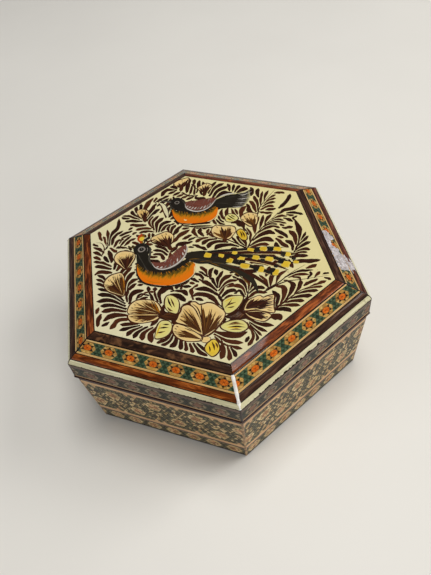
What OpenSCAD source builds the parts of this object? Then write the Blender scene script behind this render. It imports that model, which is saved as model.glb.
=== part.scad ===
// Hexagonal marquetry box with a hinged lid.
// Origin: centre of the underside. +Z up, the front side faces -Y, the hinges are on the +Y side.
// A side is named by where it stands: front, front_right, back_right, back, back_left, front_left.

/* [Lid panel] */
// Distance from the centre to a corner of the painted panel
panel_r = 47; // [42:0.5:52]
// Thickness of the painted panel
panel_t = 1.5; // [1:0.1:2]

/* [Lid frame] */
// Width in plan of the inner wood stripe
stripe_in_w = 3.14; // [2:0.02:5]
// Fall of the inner wood stripe
stripe_in_fall = 0.97; // [0.6:0.01:1.4]
// Width in plan of the rosette band
band_w = 4.39; // [3:0.01:6]
// Fall of the rosette band
band_fall = 2.62; // [2:0.01:3]
// Width in plan of the outer wood stripe
stripe_out_w = 2.4; // [1.6:0.02:4]
// Fall of the outer wood stripe
stripe_out_fall = 1.32; // [1:0.01:1.6]
// Width in plan of the bone edge strip
bone_w = 1.08; // [0.9:0.02:1.4]
// Fall of the bone edge strip
bone_fall = 1.38; // [1.1:0.01:1.6]
// Thickness of the composite strip glued on the moulding
strip_t = 1; // [0.6:0.1:1.2]

/* [Lid side] */
// Height of the upright side of the lid
lid_side_h = 8.33; // [6:0.01:14]
// Thickness of the lid side boards
lid_wall_t = 4; // [3:0.1:5]
// Thickness of the dark strip under the lid side
lip_t = 0.82; // [0.7:0.01:1.2]
// How far the dark strip stands proud of the lid side
lip_proud = 0.25; // [0.1:0.01:0.5]

/* [Base] */
// Height of the base, from the table to the top of the rim
base_h = 31.1; // [20:0.1:60]
// How far the rim sits in from the lid side
rim_inset = 0.41; // [0.3:0.01:1]
// How far the wall leans in from rim to floor
lean = 1.97; // [0:0.01:2.5]
// Thickness of the wall boards
wall_t = 3.8; // [3:0.1:5]
// Thickness of the floor board
floor_t = 3.5; // [3:0.1:6]
// Thickness of the rim edging
rim_t = 0.8; // [0.7:0.05:1.2]

/* [Veneer and lining] */
// Thickness of the marquetry veneer
veneer_t = 0.8; // [0.5:0.05:1]
// Thickness of the wall lining
lining_t = 0.7; // [0.4:0.1:1]
// Thickness of the floor and lid lining
pad_t = 0.8; // [0.5:0.1:1.5]
// Thickness of the felt under the base
felt_t = 0.5; // [0.3:0.1:0.8]

/* [Hinges] */
// Distance of each hinge from the middle of the back
hinge_x = 17; // [10:0.5:19]
// Length of a hinge
hinge_l = 12; // [8:0.5:14]
// Width of a leaf, from the pin's axis to its inner edge
leaf_w = 3.5; // [3:0.1:3.8]
// Thickness of a leaf
leaf_t = 0.5; // [0.4:0.05:0.6]
// Outer radius of the knuckles
knuckle_r = 1; // [0.9:0.05:1]
// Radius of the hinge pin
pin_r = 0.45; // [0.4:0.05:0.5]
// How far the pin's axis sits in from the lid side
axis_in = 1.1; // [1.1:0.05:1.3]
// Angle to which the lid opens
open_angle = 100; // [90:1:110]

/* [Fits] */
// Gap between the closed lid and the rim
seam_gap = 0.28; // [0.2:0.02:0.4]
// Glue line at each mitre
glue_gap = 0.04; // [0.02:0.01:0.1]
// Radial clearance of the lid knuckle on the pin
run_gap = 0.05; // [0.03:0.01:0.08]
// Clearance around moving knuckles
knuckle_gap = 0.15; // [0.1:0.01:0.2]

/* [Hidden] */

back = 3;                                  // number of the side that carries the hinges
reach = 200;

// Section of the lid frame: a is the distance from the centre to a flat side, z the height.
a0 = panel_r * cos(30);
a1 = a0 + stripe_in_w;
a2 = a1 + band_w;
a3 = a2 + stripe_out_w;
a4 = a3 + bone_w;
z4 = base_h + seam_gap + lid_side_h;
z3 = z4 + bone_fall;
z2 = z3 + stripe_out_fall;
z1 = z2 + band_fall;
z0 = z1 + stripe_in_fall;

lid_z = base_h + seam_gap;                 // underside of the lid
side_in = a4 - veneer_t;                   // outer face of the lid side boards
lid_in = side_in - lid_wall_t;             // inner face of the lid side boards
core_z = z4 - 0.01;                        // top of the side boards, underside of the mouldings

// Outer face of the base at a height, and the inner face of its wall boards.
rim_a = a4 - rim_inset;
slope = lean / base_h;
function out_a(z) = rim_a - (base_h - z) * slope;
function core_a(z) = out_a(z) - veneer_t;
function in_a(z) = core_a(z) - wall_t;

// Hinge axis and the V groove that lets the lid open and then stops it.
axis_y = a4 - axis_in;
axis_z = base_h + seam_gap / 2;
groove = open_angle / 2 + 0.5;
groove_gap = 0.06;
leaf_z = base_h - leaf_t;
nail_r = 0.4;
nail_head_r = 0.8;
nail_head_t = 0.22;
nail_l = 5.5;
nail_y = axis_y - 2.3;
nail_dx = hinge_l / 2 - 2.2;
outer_knuckle = (hinge_l - 4) / 2;

// ---------- shared shapes ----------

module at_side(k) rotate([0, 0, -90 + 60 * k]) children();

// One mitred length of a section [[a, z], ...] along side k.
module mitred(k, section) {
    at_side(k) intersection() {
        rotate([90, 0, 0]) linear_extrude(height = reach, center = true) polygon(section);
        translate([glue_gap, 0, -10]) linear_extrude(height = reach)
            polygon([[0, 0], [reach, -reach * tan(30)], [reach, reach * tan(30)]]);
    }
}

// Flat hexagon whose sides are at distance a.
module hex_board(a, z_low, z_high) {
    translate([0, 0, z_low]) linear_extrude(height = z_high - z_low)
        polygon([for (i = [0:5]) [a / cos(30) * cos(60 * i), a / cos(30) * sin(60 * i)]]);
}

// Wedge that is free for the base (dir = -1) or the lid (dir = 1) outboard of the hinge axis.
module groove_cut(dir) {
    t = tan(groove);
    rotate([90, 0, 90]) linear_extrude(height = reach, center = true)
        polygon([[axis_y - groove_gap, axis_z - dir * 5],
                 [axis_y - groove_gap, axis_z + dir * groove_gap],
                 [axis_y + 10, axis_z + dir * (groove_gap + (10 + groove_gap) * t)],
                 [axis_y + 10, axis_z - dir * 5]]);
}

// Room for the knuckles of both hinges.
module knuckle_room() {
    for (s = [-1, 1]) translate([s * hinge_x, axis_y, axis_z]) rotate([0, 90, 0])
        cylinder(r = knuckle_r + knuckle_gap, h = hinge_l + 2 * knuckle_gap, center = true, $fn = 48);
}

// Room for the leaves, let flush into the rim (dir = -1) or the lid edge (dir = 1).
module leaf_room(dir) {
    z = dir < 0 ? base_h : lid_z;
    for (s = [-1, 1]) translate([s * hinge_x, axis_y - leaf_w / 2, z])
        cube([hinge_l + 0.04, leaf_w + 0.04, 2 * leaf_t + 0.02], center = true);
}

module nail_holes(dir) {
    z = dir < 0 ? base_h : lid_z;
    for (s = [-1, 1], n = [-1, 1]) translate([s * hinge_x + n * nail_dx, nail_y, z])
        cylinder(r = nail_r, h = 2 * nail_l, center = true, $fn = 32);
}

// Cuts that the base (dir = -1) or the lid (dir = 1) needs around the hinges. The groove also
// crosses the ends of the two sides next to the back.
module for_hinges(k, dir) {
    if (k == back) difference() {
        children();
        groove_cut(dir);
        knuckle_room();
        leaf_room(dir);
        nail_holes(dir);
    }
    else if (abs(k - back) == 1) difference() {
        children();
        groove_cut(dir);
    }
    else children();
}

// ---------- base ----------

module base_underside_felt() color([0.12, 0.2, 0.14])
    hex_board(in_a(0) + 1.6, 0, felt_t);

module base_bottom_board() color([0.55, 0.42, 0.28])
    hex_board(in_a(felt_t) - 0.02, felt_t, felt_t + floor_t);

module base_wall(k) color([0.5, 0.36, 0.22]) {
    z_low = felt_t;
    z_high = base_h - rim_t;
    for_hinges(k, -1) mitred(k, [[in_a(z_low), z_low], [core_a(z_low), z_low],
                                 [core_a(z_high), z_high], [in_a(z_high), z_high]]);
}

module base_khatam(k) color([0.62, 0.55, 0.38]) {
    z_low = felt_t - 0.2;
    z_high = base_h - rim_t;
    for_hinges(k, -1) mitred(k, [[core_a(z_low), z_low], [out_a(z_low), z_low],
                                 [out_a(z_high), z_high], [core_a(z_high), z_high]]);
}

module base_rim_edging() color([0.8, 0.66, 0.52]) {
    z_low = base_h - rim_t;
    for (k = [0:5]) for_hinges(k, -1)
        mitred(k, [[in_a(z_low) - lining_t, z_low], [out_a(z_low), z_low],
                   [out_a(base_h), base_h], [in_a(base_h) - lining_t, base_h]]);
}

module base_floor_lining() color([0.42, 0.05, 0.07])
    hex_board(in_a(felt_t + floor_t) - 0.05, felt_t + floor_t, felt_t + floor_t + pad_t);

module base_wall_lining() color([0.42, 0.05, 0.07]) {
    z_low = felt_t + floor_t + pad_t;
    z_high = base_h - rim_t;
    for (k = [0:5]) mitred(k, [[in_a(z_low) - lining_t, z_low], [in_a(z_low), z_low],
                               [in_a(z_high), z_high], [in_a(z_high) - lining_t, z_high]]);
}

// ---------- lid ----------

module lid_lip_edging() color([0.16, 0.07, 0.05]) {
    for (k = [0:5]) for_hinges(k, 1)
        mitred(k, [[lid_in - lining_t, lid_z], [a4 + lip_proud - 0.12, lid_z], [a4 + lip_proud, lid_z + 0.14],
                   [a4 + lip_proud, lid_z + lip_t - 0.2], [a4 + lip_proud - 0.14, lid_z + lip_t],
                   [lid_in - lining_t, lid_z + lip_t]]);
}

module lid_wall(k) color([0.5, 0.36, 0.22])
    for_hinges(k, 1) mitred(k, [[lid_in, lid_z + lip_t], [side_in, lid_z + lip_t],
                                [side_in, core_z], [lid_in, core_z]]);

module lid_khatam(k) color([0.55, 0.48, 0.36])
    for_hinges(k, 1) mitred(k, [[side_in, lid_z + lip_t], [a4, lid_z + lip_t],
                                [a4, z4 - 0.3], [side_in, z4 - 0.3]]);

module lid_moulding(k) color([0.48, 0.34, 0.2])
    mitred(k, [[a0, core_z], [side_in, core_z], [a3, z3 - strip_t], [a2, z2 - strip_t],
               [a1, z1 - strip_t], [a0, z0 - strip_t]]);

module frame_marquetry(k) color(k % 2 == 0 ? [0.62, 0.42, 0.16] : [0.66, 0.46, 0.2])
    mitred(k, [[a0, z0], [a0, z0 - strip_t], [a1, z1 - strip_t], [a2, z2 - strip_t],
               [a3, z3 - strip_t], [a3, z3], [a2, z2], [a1, z1]]);

module bone_edge(k) color([0.8, 0.78, 0.58])
    mitred(k, [[a3, z3 - strip_t], [a3, z3], [a4, z4], [a4, z4 - 0.3], [side_in, z4 - 0.3],
               [side_in, core_z]]);

module lid_top_board() color([0.55, 0.42, 0.28])
    hex_board(a0 - 0.02, core_z, z0 - panel_t);

module painted_panel() color([0.88, 0.86, 0.68])
    hex_board(a0 - 0.02, z0 - panel_t, z0);

module lid_top_lining() color([0.42, 0.05, 0.07])
    hex_board(lid_in - 0.02, core_z - pad_t, core_z);

module lid_wall_lining() color([0.42, 0.05, 0.07])
    for (k = [0:5]) mitred(k, [[lid_in - lining_t, lid_z + lip_t], [lid_in, lid_z + lip_t],
                               [lid_in, core_z - pad_t], [lid_in - lining_t, core_z - pad_t]]);

// ---------- hinges ----------

// A length of knuckle around the axis, from x_low to x_high.
module knuckle(x_low, x_high, bore) {
    translate([x_low, 0, 0]) rotate([0, 90, 0]) difference() {
        cylinder(r = knuckle_r, h = x_high - x_low, $fn = 48);
        translate([0, 0, -1]) cylinder(r = bore, h = x_high - x_low + 2, $fn = 48);
    }
}

// A leaf plate with its nail holes; it stops short of the other leaf's knuckles.
module leaf_plate(dir) {
    z_low = dir < 0 ? leaf_z - axis_z : lid_z - axis_z;
    h = leaf_t;
    difference() {
        translate([-hinge_l / 2, -leaf_w, z_low]) cube([hinge_l, leaf_w, h]);
        for (n = [-1, 1]) translate([n * nail_dx, nail_y - axis_y, 0]) {
            translate([0, 0, z_low - 1]) cylinder(r = nail_r, h = h + 2, $fn = 32);
            translate([0, 0, dir < 0 ? z_low + h - nail_head_t : z_low - 1])
                cylinder(r = nail_head_r, h = dir < 0 ? 1 : nail_head_t + 1, $fn = 32);
        }
        if (dir < 0) translate([-2 - 0.1, 0, 0]) rotate([0, 90, 0])
            cylinder(r = knuckle_r + knuckle_gap, h = 4.2, $fn = 48);
        else for (s = [-1, 1]) translate([s * (hinge_l / 4 + 1), 0, 0]) rotate([0, 90, 0])
            cylinder(r = knuckle_r + knuckle_gap, h = outer_knuckle + 0.1, center = true, $fn = 48);
        rotate([0, 90, 0]) cylinder(r = pin_r + run_gap, h = reach, center = true, $fn = 48);
    }
}

module base_leaf(s) color([0.78, 0.6, 0.25]) translate([s * hinge_x, axis_y, axis_z]) {
    leaf_plate(-1);
    knuckle(-hinge_l / 2, -2.05, pin_r);
    knuckle(2.05, hinge_l / 2, pin_r);
}

module lid_leaf(s) color([0.78, 0.6, 0.25]) translate([s * hinge_x, axis_y, axis_z]) {
    leaf_plate(1);
    knuckle(-1.95, 1.95, pin_r + run_gap);
}

module hinge_pins() color([0.7, 0.54, 0.22])
    for (s = [-1, 1]) translate([s * hinge_x, axis_y, axis_z]) rotate([0, 90, 0])
        cylinder(r = pin_r, h = hinge_l + 0.2, center = true, $fn = 48);

module nail(dir) {
    mirror([0, 0, dir < 0 ? 0 : 1]) {
        translate([0, 0, -nail_l]) cylinder(r = nail_r, h = nail_l - 0.1, $fn = 32);
        translate([0, 0, -nail_head_t]) cylinder(r = nail_head_r, h = nail_head_t, $fn = 32);
    }
}

module base_hinge_nails() color([0.82, 0.66, 0.3])
    for (s = [-1, 1], n = [-1, 1])
        translate([s * hinge_x + n * nail_dx, nail_y, base_h]) nail(-1);

module lid_hinge_nails() color([0.82, 0.66, 0.3])
    for (s = [-1, 1], n = [-1, 1])
        translate([s * hinge_x + n * nail_dx, nail_y, lid_z]) nail(1);

// ---------- the assembly ----------

base_underside_felt();
base_bottom_board();
base_wall(0);  // base_wall_front
base_wall(1);  // base_wall_front_right
base_wall(2);  // base_wall_back_right
base_wall(3);  // base_wall_back
base_wall(4);  // base_wall_back_left
base_wall(5);  // base_wall_front_left
base_khatam(0);  // base_khatam_front
base_khatam(1);  // base_khatam_front_right
base_khatam(2);  // base_khatam_back_right
base_khatam(3);  // base_khatam_back
base_khatam(4);  // base_khatam_back_left
base_khatam(5);  // base_khatam_front_left
base_rim_edging();
base_floor_lining();
base_wall_lining();
lid_lip_edging();
lid_wall(0);  // lid_wall_front
lid_wall(1);  // lid_wall_front_right
lid_wall(2);  // lid_wall_back_right
lid_wall(3);  // lid_wall_back
lid_wall(4);  // lid_wall_back_left
lid_wall(5);  // lid_wall_front_left
lid_khatam(0);  // lid_khatam_front
lid_khatam(1);  // lid_khatam_front_right
lid_khatam(2);  // lid_khatam_back_right
lid_khatam(3);  // lid_khatam_back
lid_khatam(4);  // lid_khatam_back_left
lid_khatam(5);  // lid_khatam_front_left
lid_moulding(0);  // lid_moulding_front
lid_moulding(1);  // lid_moulding_front_right
lid_moulding(2);  // lid_moulding_back_right
lid_moulding(3);  // lid_moulding_back
lid_moulding(4);  // lid_moulding_back_left
lid_moulding(5);  // lid_moulding_front_left
frame_marquetry(0);  // frame_marquetry_front
frame_marquetry(1);  // frame_marquetry_front_right
frame_marquetry(2);  // frame_marquetry_back_right
frame_marquetry(3);  // frame_marquetry_back
frame_marquetry(4);  // frame_marquetry_back_left
frame_marquetry(5);  // frame_marquetry_front_left
bone_edge(0);  // bone_edge_front
bone_edge(1);  // bone_edge_front_right
bone_edge(2);  // bone_edge_back_right
bone_edge(3);  // bone_edge_back
bone_edge(4);  // bone_edge_back_left
bone_edge(5);  // bone_edge_front_left
lid_top_board();
painted_panel();
lid_top_lining();
lid_wall_lining();
base_leaf(-1);  // hinge_left_base_leaf
lid_leaf(-1);  // hinge_left_lid_leaf
base_leaf(1);  // hinge_right_base_leaf
lid_leaf(1);  // hinge_right_lid_leaf
hinge_pins();
base_hinge_nails();
lid_hinge_nails();
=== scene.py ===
import bpy
import math
import random
import numpy as np
from mathutils import Matrix, Vector


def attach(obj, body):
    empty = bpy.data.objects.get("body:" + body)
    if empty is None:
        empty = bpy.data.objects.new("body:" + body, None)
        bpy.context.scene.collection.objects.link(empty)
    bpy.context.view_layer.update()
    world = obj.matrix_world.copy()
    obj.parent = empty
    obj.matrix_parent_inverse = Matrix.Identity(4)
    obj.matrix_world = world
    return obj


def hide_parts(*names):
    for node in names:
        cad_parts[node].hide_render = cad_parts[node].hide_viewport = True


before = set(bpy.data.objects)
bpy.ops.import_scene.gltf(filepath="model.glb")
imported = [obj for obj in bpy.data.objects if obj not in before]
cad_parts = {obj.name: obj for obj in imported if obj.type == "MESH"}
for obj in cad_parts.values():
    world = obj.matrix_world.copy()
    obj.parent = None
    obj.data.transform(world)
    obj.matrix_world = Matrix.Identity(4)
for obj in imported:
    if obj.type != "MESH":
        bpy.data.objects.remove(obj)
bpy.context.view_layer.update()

MM = 0.001
T30 = math.tan(math.radians(30))
SIDES = ["front", "front_right", "back_right", "back", "back_left", "front_left"]
BACK = 3
AXIS_Y, AXIS_Z = 50.6132, 31.24           # hinge axis, mm
GROOVE = math.tan(math.radians(50.5))     # slope of the relief groove along the back
GG = 0.06
MAKE = []                                 # every new piece


# ------------------------------------------------------------------ colour and node helpers

def srgb(r, g, b):
    def f(c):
        c /= 255.0
        return c / 12.92 if c <= 0.04045 else ((c + 0.055) / 1.055) ** 2.4
    return (f(r), f(g), f(b), 1.0)


class Mat:
    """A small builder of node materials around one Principled shader."""

    def __init__(self, name, **fixed):
        self.m = bpy.data.materials.new(name)
        self.m.use_nodes = True
        self.t = self.m.node_tree
        self.n = self.t.nodes
        self.b = self.n["Principled BSDF"]
        for key, value in fixed.items():
            self.b.inputs[key.replace("_", " ")].default_value = value

    def node(self, kind, **props):
        made = self.n.new(kind)
        for key, value in props.items():
            setattr(made, key, value)
        return made

    def link(self, a, b):
        self.t.links.new(a, b)

    def uv(self, su, sv, rot=0.0, layer="Grain", loc=(0, 0, 0)):
        u = self.node("ShaderNodeUVMap", uv_map=layer)
        mp = self.node("ShaderNodeMapping")
        mp.inputs["Scale"].default_value = (su, sv, 1)
        mp.inputs["Rotation"].default_value = (0, 0, rot)
        mp.inputs["Location"].default_value = loc
        self.link(u.outputs["UV"], mp.inputs["Vector"])
        return mp.outputs["Vector"]

    def obj(self, sx=1, sy=1, sz=1, loc=(0, 0, 0)):
        u = self.node("ShaderNodeTexCoord")
        mp = self.node("ShaderNodeMapping")
        mp.inputs["Scale"].default_value = (sx, sy, sz)
        mp.inputs["Location"].default_value = loc
        self.link(u.outputs["Object"], mp.inputs["Vector"])
        return mp.outputs["Vector"]

    def noise(self, vec, scale=1.0, detail=3.0, rough=0.55, dist=0.0):
        x = self.node("ShaderNodeTexNoise")
        x.inputs["Scale"].default_value = scale
        x.inputs["Detail"].default_value = detail
        x.inputs["Roughness"].default_value = rough
        x.inputs["Distortion"].default_value = dist
        self.link(vec, x.inputs["Vector"])
        return x.outputs["Fac"]

    def voronoi(self, vec, scale=1.0, feature="F1"):
        x = self.node("ShaderNodeTexVoronoi", feature=feature)
        x.inputs["Scale"].default_value = scale
        self.link(vec, x.inputs["Vector"])
        return x.outputs["Distance"]

    def ramp(self, fac, stops, interp="LINEAR"):
        r = self.node("ShaderNodeValToRGB")
        r.color_ramp.interpolation = interp
        el = r.color_ramp.elements
        while len(el) > 1:
            el.remove(el[-1])
        el[0].position, el[0].color = stops[0]
        for p, c in stops[1:]:
            e = el.new(p)
            e.color = c
        self.link(fac, r.inputs["Fac"])
        return r.outputs["Color"]

    def fac(self, fac, lo, hi, a=0.0, b=1.0):
        r = self.node("ShaderNodeMapRange")
        r.inputs["From Min"].default_value = lo
        r.inputs["From Max"].default_value = hi
        r.inputs["To Min"].default_value = a
        r.inputs["To Max"].default_value = b
        self.link(fac, r.inputs["Value"])
        return r.outputs["Result"]

    def math(self, op, a, b):
        x = self.node("ShaderNodeMath", operation=op)
        for i, v in enumerate((a, b)):
            if hasattr(v, "links"):
                self.link(v, x.inputs[i])
            else:
                x.inputs[i].default_value = v
        return x.outputs[0]

    def mix(self, fac, a, b, blend="MIX"):
        x = self.node("ShaderNodeMix", data_type="RGBA", blend_type=blend)
        for sock, v in ((x.inputs[0], fac), (x.inputs[6], a), (x.inputs[7], b)):
            if hasattr(v, "links"):
                self.link(v, sock)
            else:
                sock.default_value = v
        return x.outputs[2]

    def attr(self, name):
        x = self.node("ShaderNodeAttribute", attribute_name=name)
        return x.outputs["Fac"]

    def colour(self, c):
        self.link(c, self.b.inputs["Base Color"])

    def rough(self, r):
        self.link(r, self.b.inputs["Roughness"])

    def bump(self, height, distance, strength=1.0):
        x = self.node("ShaderNodeBump")
        x.inputs["Distance"].default_value = distance
        x.inputs["Strength"].default_value = strength
        self.link(height, x.inputs["Height"])
        self.link(x.outputs["Normal"], self.b.inputs["Normal"])


LAC = dict(Coat_Weight=0.5, Coat_Roughness=0.05, Coat_IOR=1.4, Specular_IOR_Level=0.05)
# over the painting, thinner still
PLAC = dict(Coat_Weight=0.42, Coat_Roughness=0.06, Coat_IOR=1.5, Specular_IOR_Level=0.06)


SATIN = dict(Coat_Weight=0.22, Coat_Roughness=0.2, Coat_IOR=1.5, Specular_IOR_Level=0.1)


def tile_mat(name, tones, fibre=0.16, dirt=0.22, rough=(0.3, 0.5), lac=LAC):
    m = Mat(name, **lac)
    r = m.attr("rnd")
    stops = [((i + 0.0) / max(1, len(tones) - 1), srgb(*c)) for i, c in enumerate(tones)]
    base = m.ramp(r, stops)
    g = m.noise(m.uv(420, 2600, rot=0.5), 1.0, 4, 0.6)
    dark = m.mix(1.0, base, (0.62, 0.58, 0.52, 1), "MULTIPLY")
    c1 = m.mix(m.fac(g, 0.35, 0.75, 0.0, fibre * 4), base, dark)
    d = m.noise(m.obj(), 330, 3, 0.7, 0.4)
    c2 = m.mix(m.fac(d, 0.5, 0.78, 0.0, dirt), c1, srgb(70, 52, 34))
    m.colour(c2)
    m.rough(m.fac(g, 0.3, 0.7, rough[0], rough[1]))
    m.bump(g, 0.00002, 0.5)
    return m.m


def wood_mat(name, dark, mid, light, along=38, across=900, patches=0.0, patch=None, gloss=True, pores=0.6, lac=LAC, slant=0.0,
             spots=(2.4, 190)):
    m = Mat(name, **(lac if gloss else dict(Coat_Weight=0.0, Specular_IOR_Level=0.35)))
    v = m.uv(along, across, rot=slant)
    g = m.noise(v, 1.0, 5, 0.62, 0.6)
    base = m.ramp(g, [(0.3, srgb(*dark)), (0.5, srgb(*mid)), (0.72, srgb(*light))])
    p = m.noise(m.uv(along * 7, across * 2.6), 1.0, 3, 0.7)
    pore = m.mix(m.fac(p, 0.6, 0.72, 0.0, pores), base, m.mix(1.0, base, (0.35, 0.3, 0.28, 1), "MULTIPLY"))
    big = m.noise(m.uv(along * spots[0], spots[1], loc=(3, 5, 0)), 1.0, 3, 0.6, 0.8)
    if patch is not None:
        pore = m.mix(m.fac(big, 0.52, 0.66, 0.0, patches), pore, srgb(*patch))
    else:
        pore = m.mix(m.fac(big, 0.35, 0.7, 0.0, 0.35), pore, m.mix(1.0, pore, (0.6, 0.55, 0.5, 1), "MULTIPLY"))
    m.colour(pore)
    m.rough(m.fac(g, 0.3, 0.7, 0.28, 0.5) if gloss else m.fac(g, 0.3, 0.7, 0.55, 0.8))
    m.bump(p, 0.00002 if gloss else 0.00006, 0.5)
    return m.m


M = {}
M["cream"] = tile_mat("tile_cream", [(152, 110, 48), (192, 152, 80), (172, 130, 62), (208, 172, 102)], dirt=0.42)
M["gold"] = tile_mat("tile_gold", [(176, 124, 52), (196, 146, 66), (206, 160, 82)])
M["orange"] = tile_mat("tile_orange", [(196, 90, 18), (222, 120, 34), (206, 100, 20)], dirt=0.3)
M["core"] = tile_mat("tile_core", [(128, 48, 12), (160, 68, 18), (144, 56, 14)])
M["black"] = tile_mat("tile_black", [(22, 12, 6), (34, 20, 12)], fibre=0.05, dirt=0.05)
M["teal"] = tile_mat("tile_teal", [(60, 82, 58), (78, 100, 74), (68, 90, 66)], fibre=0.2)
M["moss"] = tile_mat("tile_moss", [(32, 48, 34), (46, 64, 46)], dirt=0.1)
M["pink"] = tile_mat("tile_pink", [(190, 130, 96), (206, 150, 112), (198, 140, 100)])
M["brown"] = tile_mat("tile_brown", [(112, 66, 44), (128, 80, 54)])
M["sage"] = tile_mat("tile_sage", [(92, 88, 60), (116, 108, 76), (104, 98, 66), (134, 122, 86)], dirt=0.35, lac=SATIN)
M["sage_dark"] = tile_mat("tile_sage_dark", [(48, 46, 28), (66, 60, 38), (38, 38, 24)], dirt=0.3, lac=SATIN)
M["beige"] = tile_mat("tile_beige", [(196, 168, 112), (224, 198, 144), (182, 152, 98), (236, 214, 166)], fibre=0.25, dirt=0.4, lac=SATIN)
M["rosy"] = tile_mat("tile_rosy", [(208, 160, 112), (226, 184, 136), (196, 146, 98)], fibre=0.2, dirt=0.35, lac=SATIN)
M["tan"] = tile_mat("tile_tan", [(146, 98, 60), (170, 120, 76), (130, 86, 52)], dirt=0.4, lac=SATIN)
M["umber"] = tile_mat("tile_umber", [(70, 46, 26), (94, 64, 38)], dirt=0.3, lac=SATIN)
M["lid_pale"] = tile_mat("tile_lid_pale", [(124, 111, 84), (143, 129, 102), (111, 97, 72)], fibre=0.2, dirt=0.4, lac=SATIN)
M["lid_mid"] = tile_mat("tile_lid_mid", [(81, 67, 45), (97, 81, 55), (71, 60, 40)], dirt=0.3, lac=SATIN)
M["lid_pink"] = tile_mat("tile_lid_pink", [(119, 82, 62), (138, 99, 76), (104, 71, 52)], dirt=0.3, lac=SATIN)
M["lid_green"] = tile_mat("tile_lid_green", [(50, 54, 39), (66, 67, 50), (59, 59, 42)], dirt=0.3, lac=SATIN)
M["lid_dark"] = tile_mat("tile_lid_dark", [(32, 32, 22), (44, 42, 29)], dirt=0.2, lac=SATIN)
M["glue"] = tile_mat("tile_glue", [(22, 15, 10), (30, 20, 14)], fibre=0.03, dirt=0.05)
M["glue_warm"] = tile_mat("tile_glue_warm", [(78, 50, 26), (98, 66, 36), (66, 40, 20)], fibre=0.05, dirt=0.1)
M["line_dark"] = wood_mat("line_dark", (14, 8, 6), (22, 14, 10), (36, 22, 14), 60, 1600)
M["line_cream"] = wood_mat("line_cream", (176, 134, 76), (206, 168, 106), (224, 192, 134), 90, 2400, pores=0.35)
M["line_pink"] = wood_mat("line_pink", (176, 132, 88), (208, 166, 118), (230, 194, 150), 90, 2400, pores=0.4, lac=SATIN)
M["line_side"] = wood_mat("line_side_dark", (22, 13, 8), (34, 22, 14), (52, 36, 24), 60, 1600, lac=SATIN)
M["stripe_orange"] = wood_mat("stripe_orange", (34, 14, 6), (98, 44, 14), (206, 112, 52), 130, 900, slant=0.16, pores=0.8)
M["stripe_rust"] = wood_mat("stripe_rust", (26, 12, 8), (84, 44, 32), (146, 84, 62), 130, 900, slant=0.16, pores=0.8)
M["stripe_amber"] = wood_mat("stripe_amber", (36, 14, 4), (108, 50, 12), (214, 122, 50), 130, 900, slant=0.16, pores=0.8)
M["stripe_dark"] = wood_mat("stripe_dark", (30, 17, 12), (62, 39, 29), (110, 78, 60), 120, 1000, slant=0.12)
M["stripe_burl"] = wood_mat("stripe_burl", (24, 13, 8), (50, 30, 19), (88, 58, 38), 110, 900, patches=0.8, patch=(112, 76, 48), spots=(2.2, 420))
M["stripe_grey"] = wood_mat("stripe_grey", (62, 46, 38), (98, 78, 66), (130, 108, 94), 90, 1500, lac=SATIN)
M["bead"] = wood_mat("mitre_lacquer", (16, 8, 5), (40, 23, 14), (74, 46, 30), 90, 1200)
# near-white lacquer for the front mitre ridge only: a painted highlight where the rounded ridge catches the light, with
# a few darker worn patches
M["bead_painted_highlight"] = wood_mat("mitre_wear_and_painted_highlight", (206, 200, 190), (238, 236, 230), (252, 251, 248), 160, 300, patches=0.12, patch=(120, 96, 74))
M["bead_pale"] = wood_mat("corner_worn", (96, 66, 40), (150, 116, 78), (196, 166, 122), 300, 500, patches=0.85, patch=(44, 26, 16), lac=SATIN)
M["lip"] = wood_mat("lip_edging", (30, 9, 6), (50, 16, 10), (72, 28, 18), 60, 1600)
M["rim"] = wood_mat("rim_edging", (176, 132, 96), (204, 164, 126), (222, 190, 154), 70, 1600, pores=0.5)


def soft_mat(name, dark, mid, light, pile=0.6, sheen=0.7, fine=2600.0):
    """Velvet or felt: pile that leans this way and that, with crushed places and fine fibres."""
    m = Mat(name, Coat_Weight=0.0, Sheen_Weight=sheen, Sheen_Roughness=0.35, Specular_IOR_Level=0.05)
    m.b.inputs["Sheen Tint"].default_value = srgb(*light)
    lean = m.noise(m.obj(60, 38, 60), 1.0, 4, 0.6, 1.4)
    fib = m.noise(m.obj(), fine, 2, 0.7)
    c = m.ramp(lean, [(0.28, srgb(*dark)), (0.5, srgb(*mid)), (0.74, srgb(*light))])
    c = m.mix(m.fac(fib, 0.35, 0.7, 0.0, pile), c, m.mix(1.0, c, (0.45, 0.42, 0.42, 1), "MULTIPLY"))
    lint = m.noise(m.obj(190, 1400, 190), 1.0, 2, 0.5, 2.0)
    c = m.mix(m.fac(lint, 0.77, 0.83, 0.0, 0.35), c, srgb(206, 190, 176))
    m.colour(c)
    m.rough(m.fac(fib, 0.3, 0.7, 0.78, 0.98))
    m.bump(fib, 0.00012, 0.8)
    return m.m


M["velvet"] = soft_mat("velvet_red", (58, 7, 12), (92, 14, 20), (132, 30, 34))
M["felt"] = soft_mat("felt_green", (26, 50, 34), (38, 66, 46), (56, 86, 62), pile=0.4, sheen=0.25, fine=1700.0)


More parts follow.
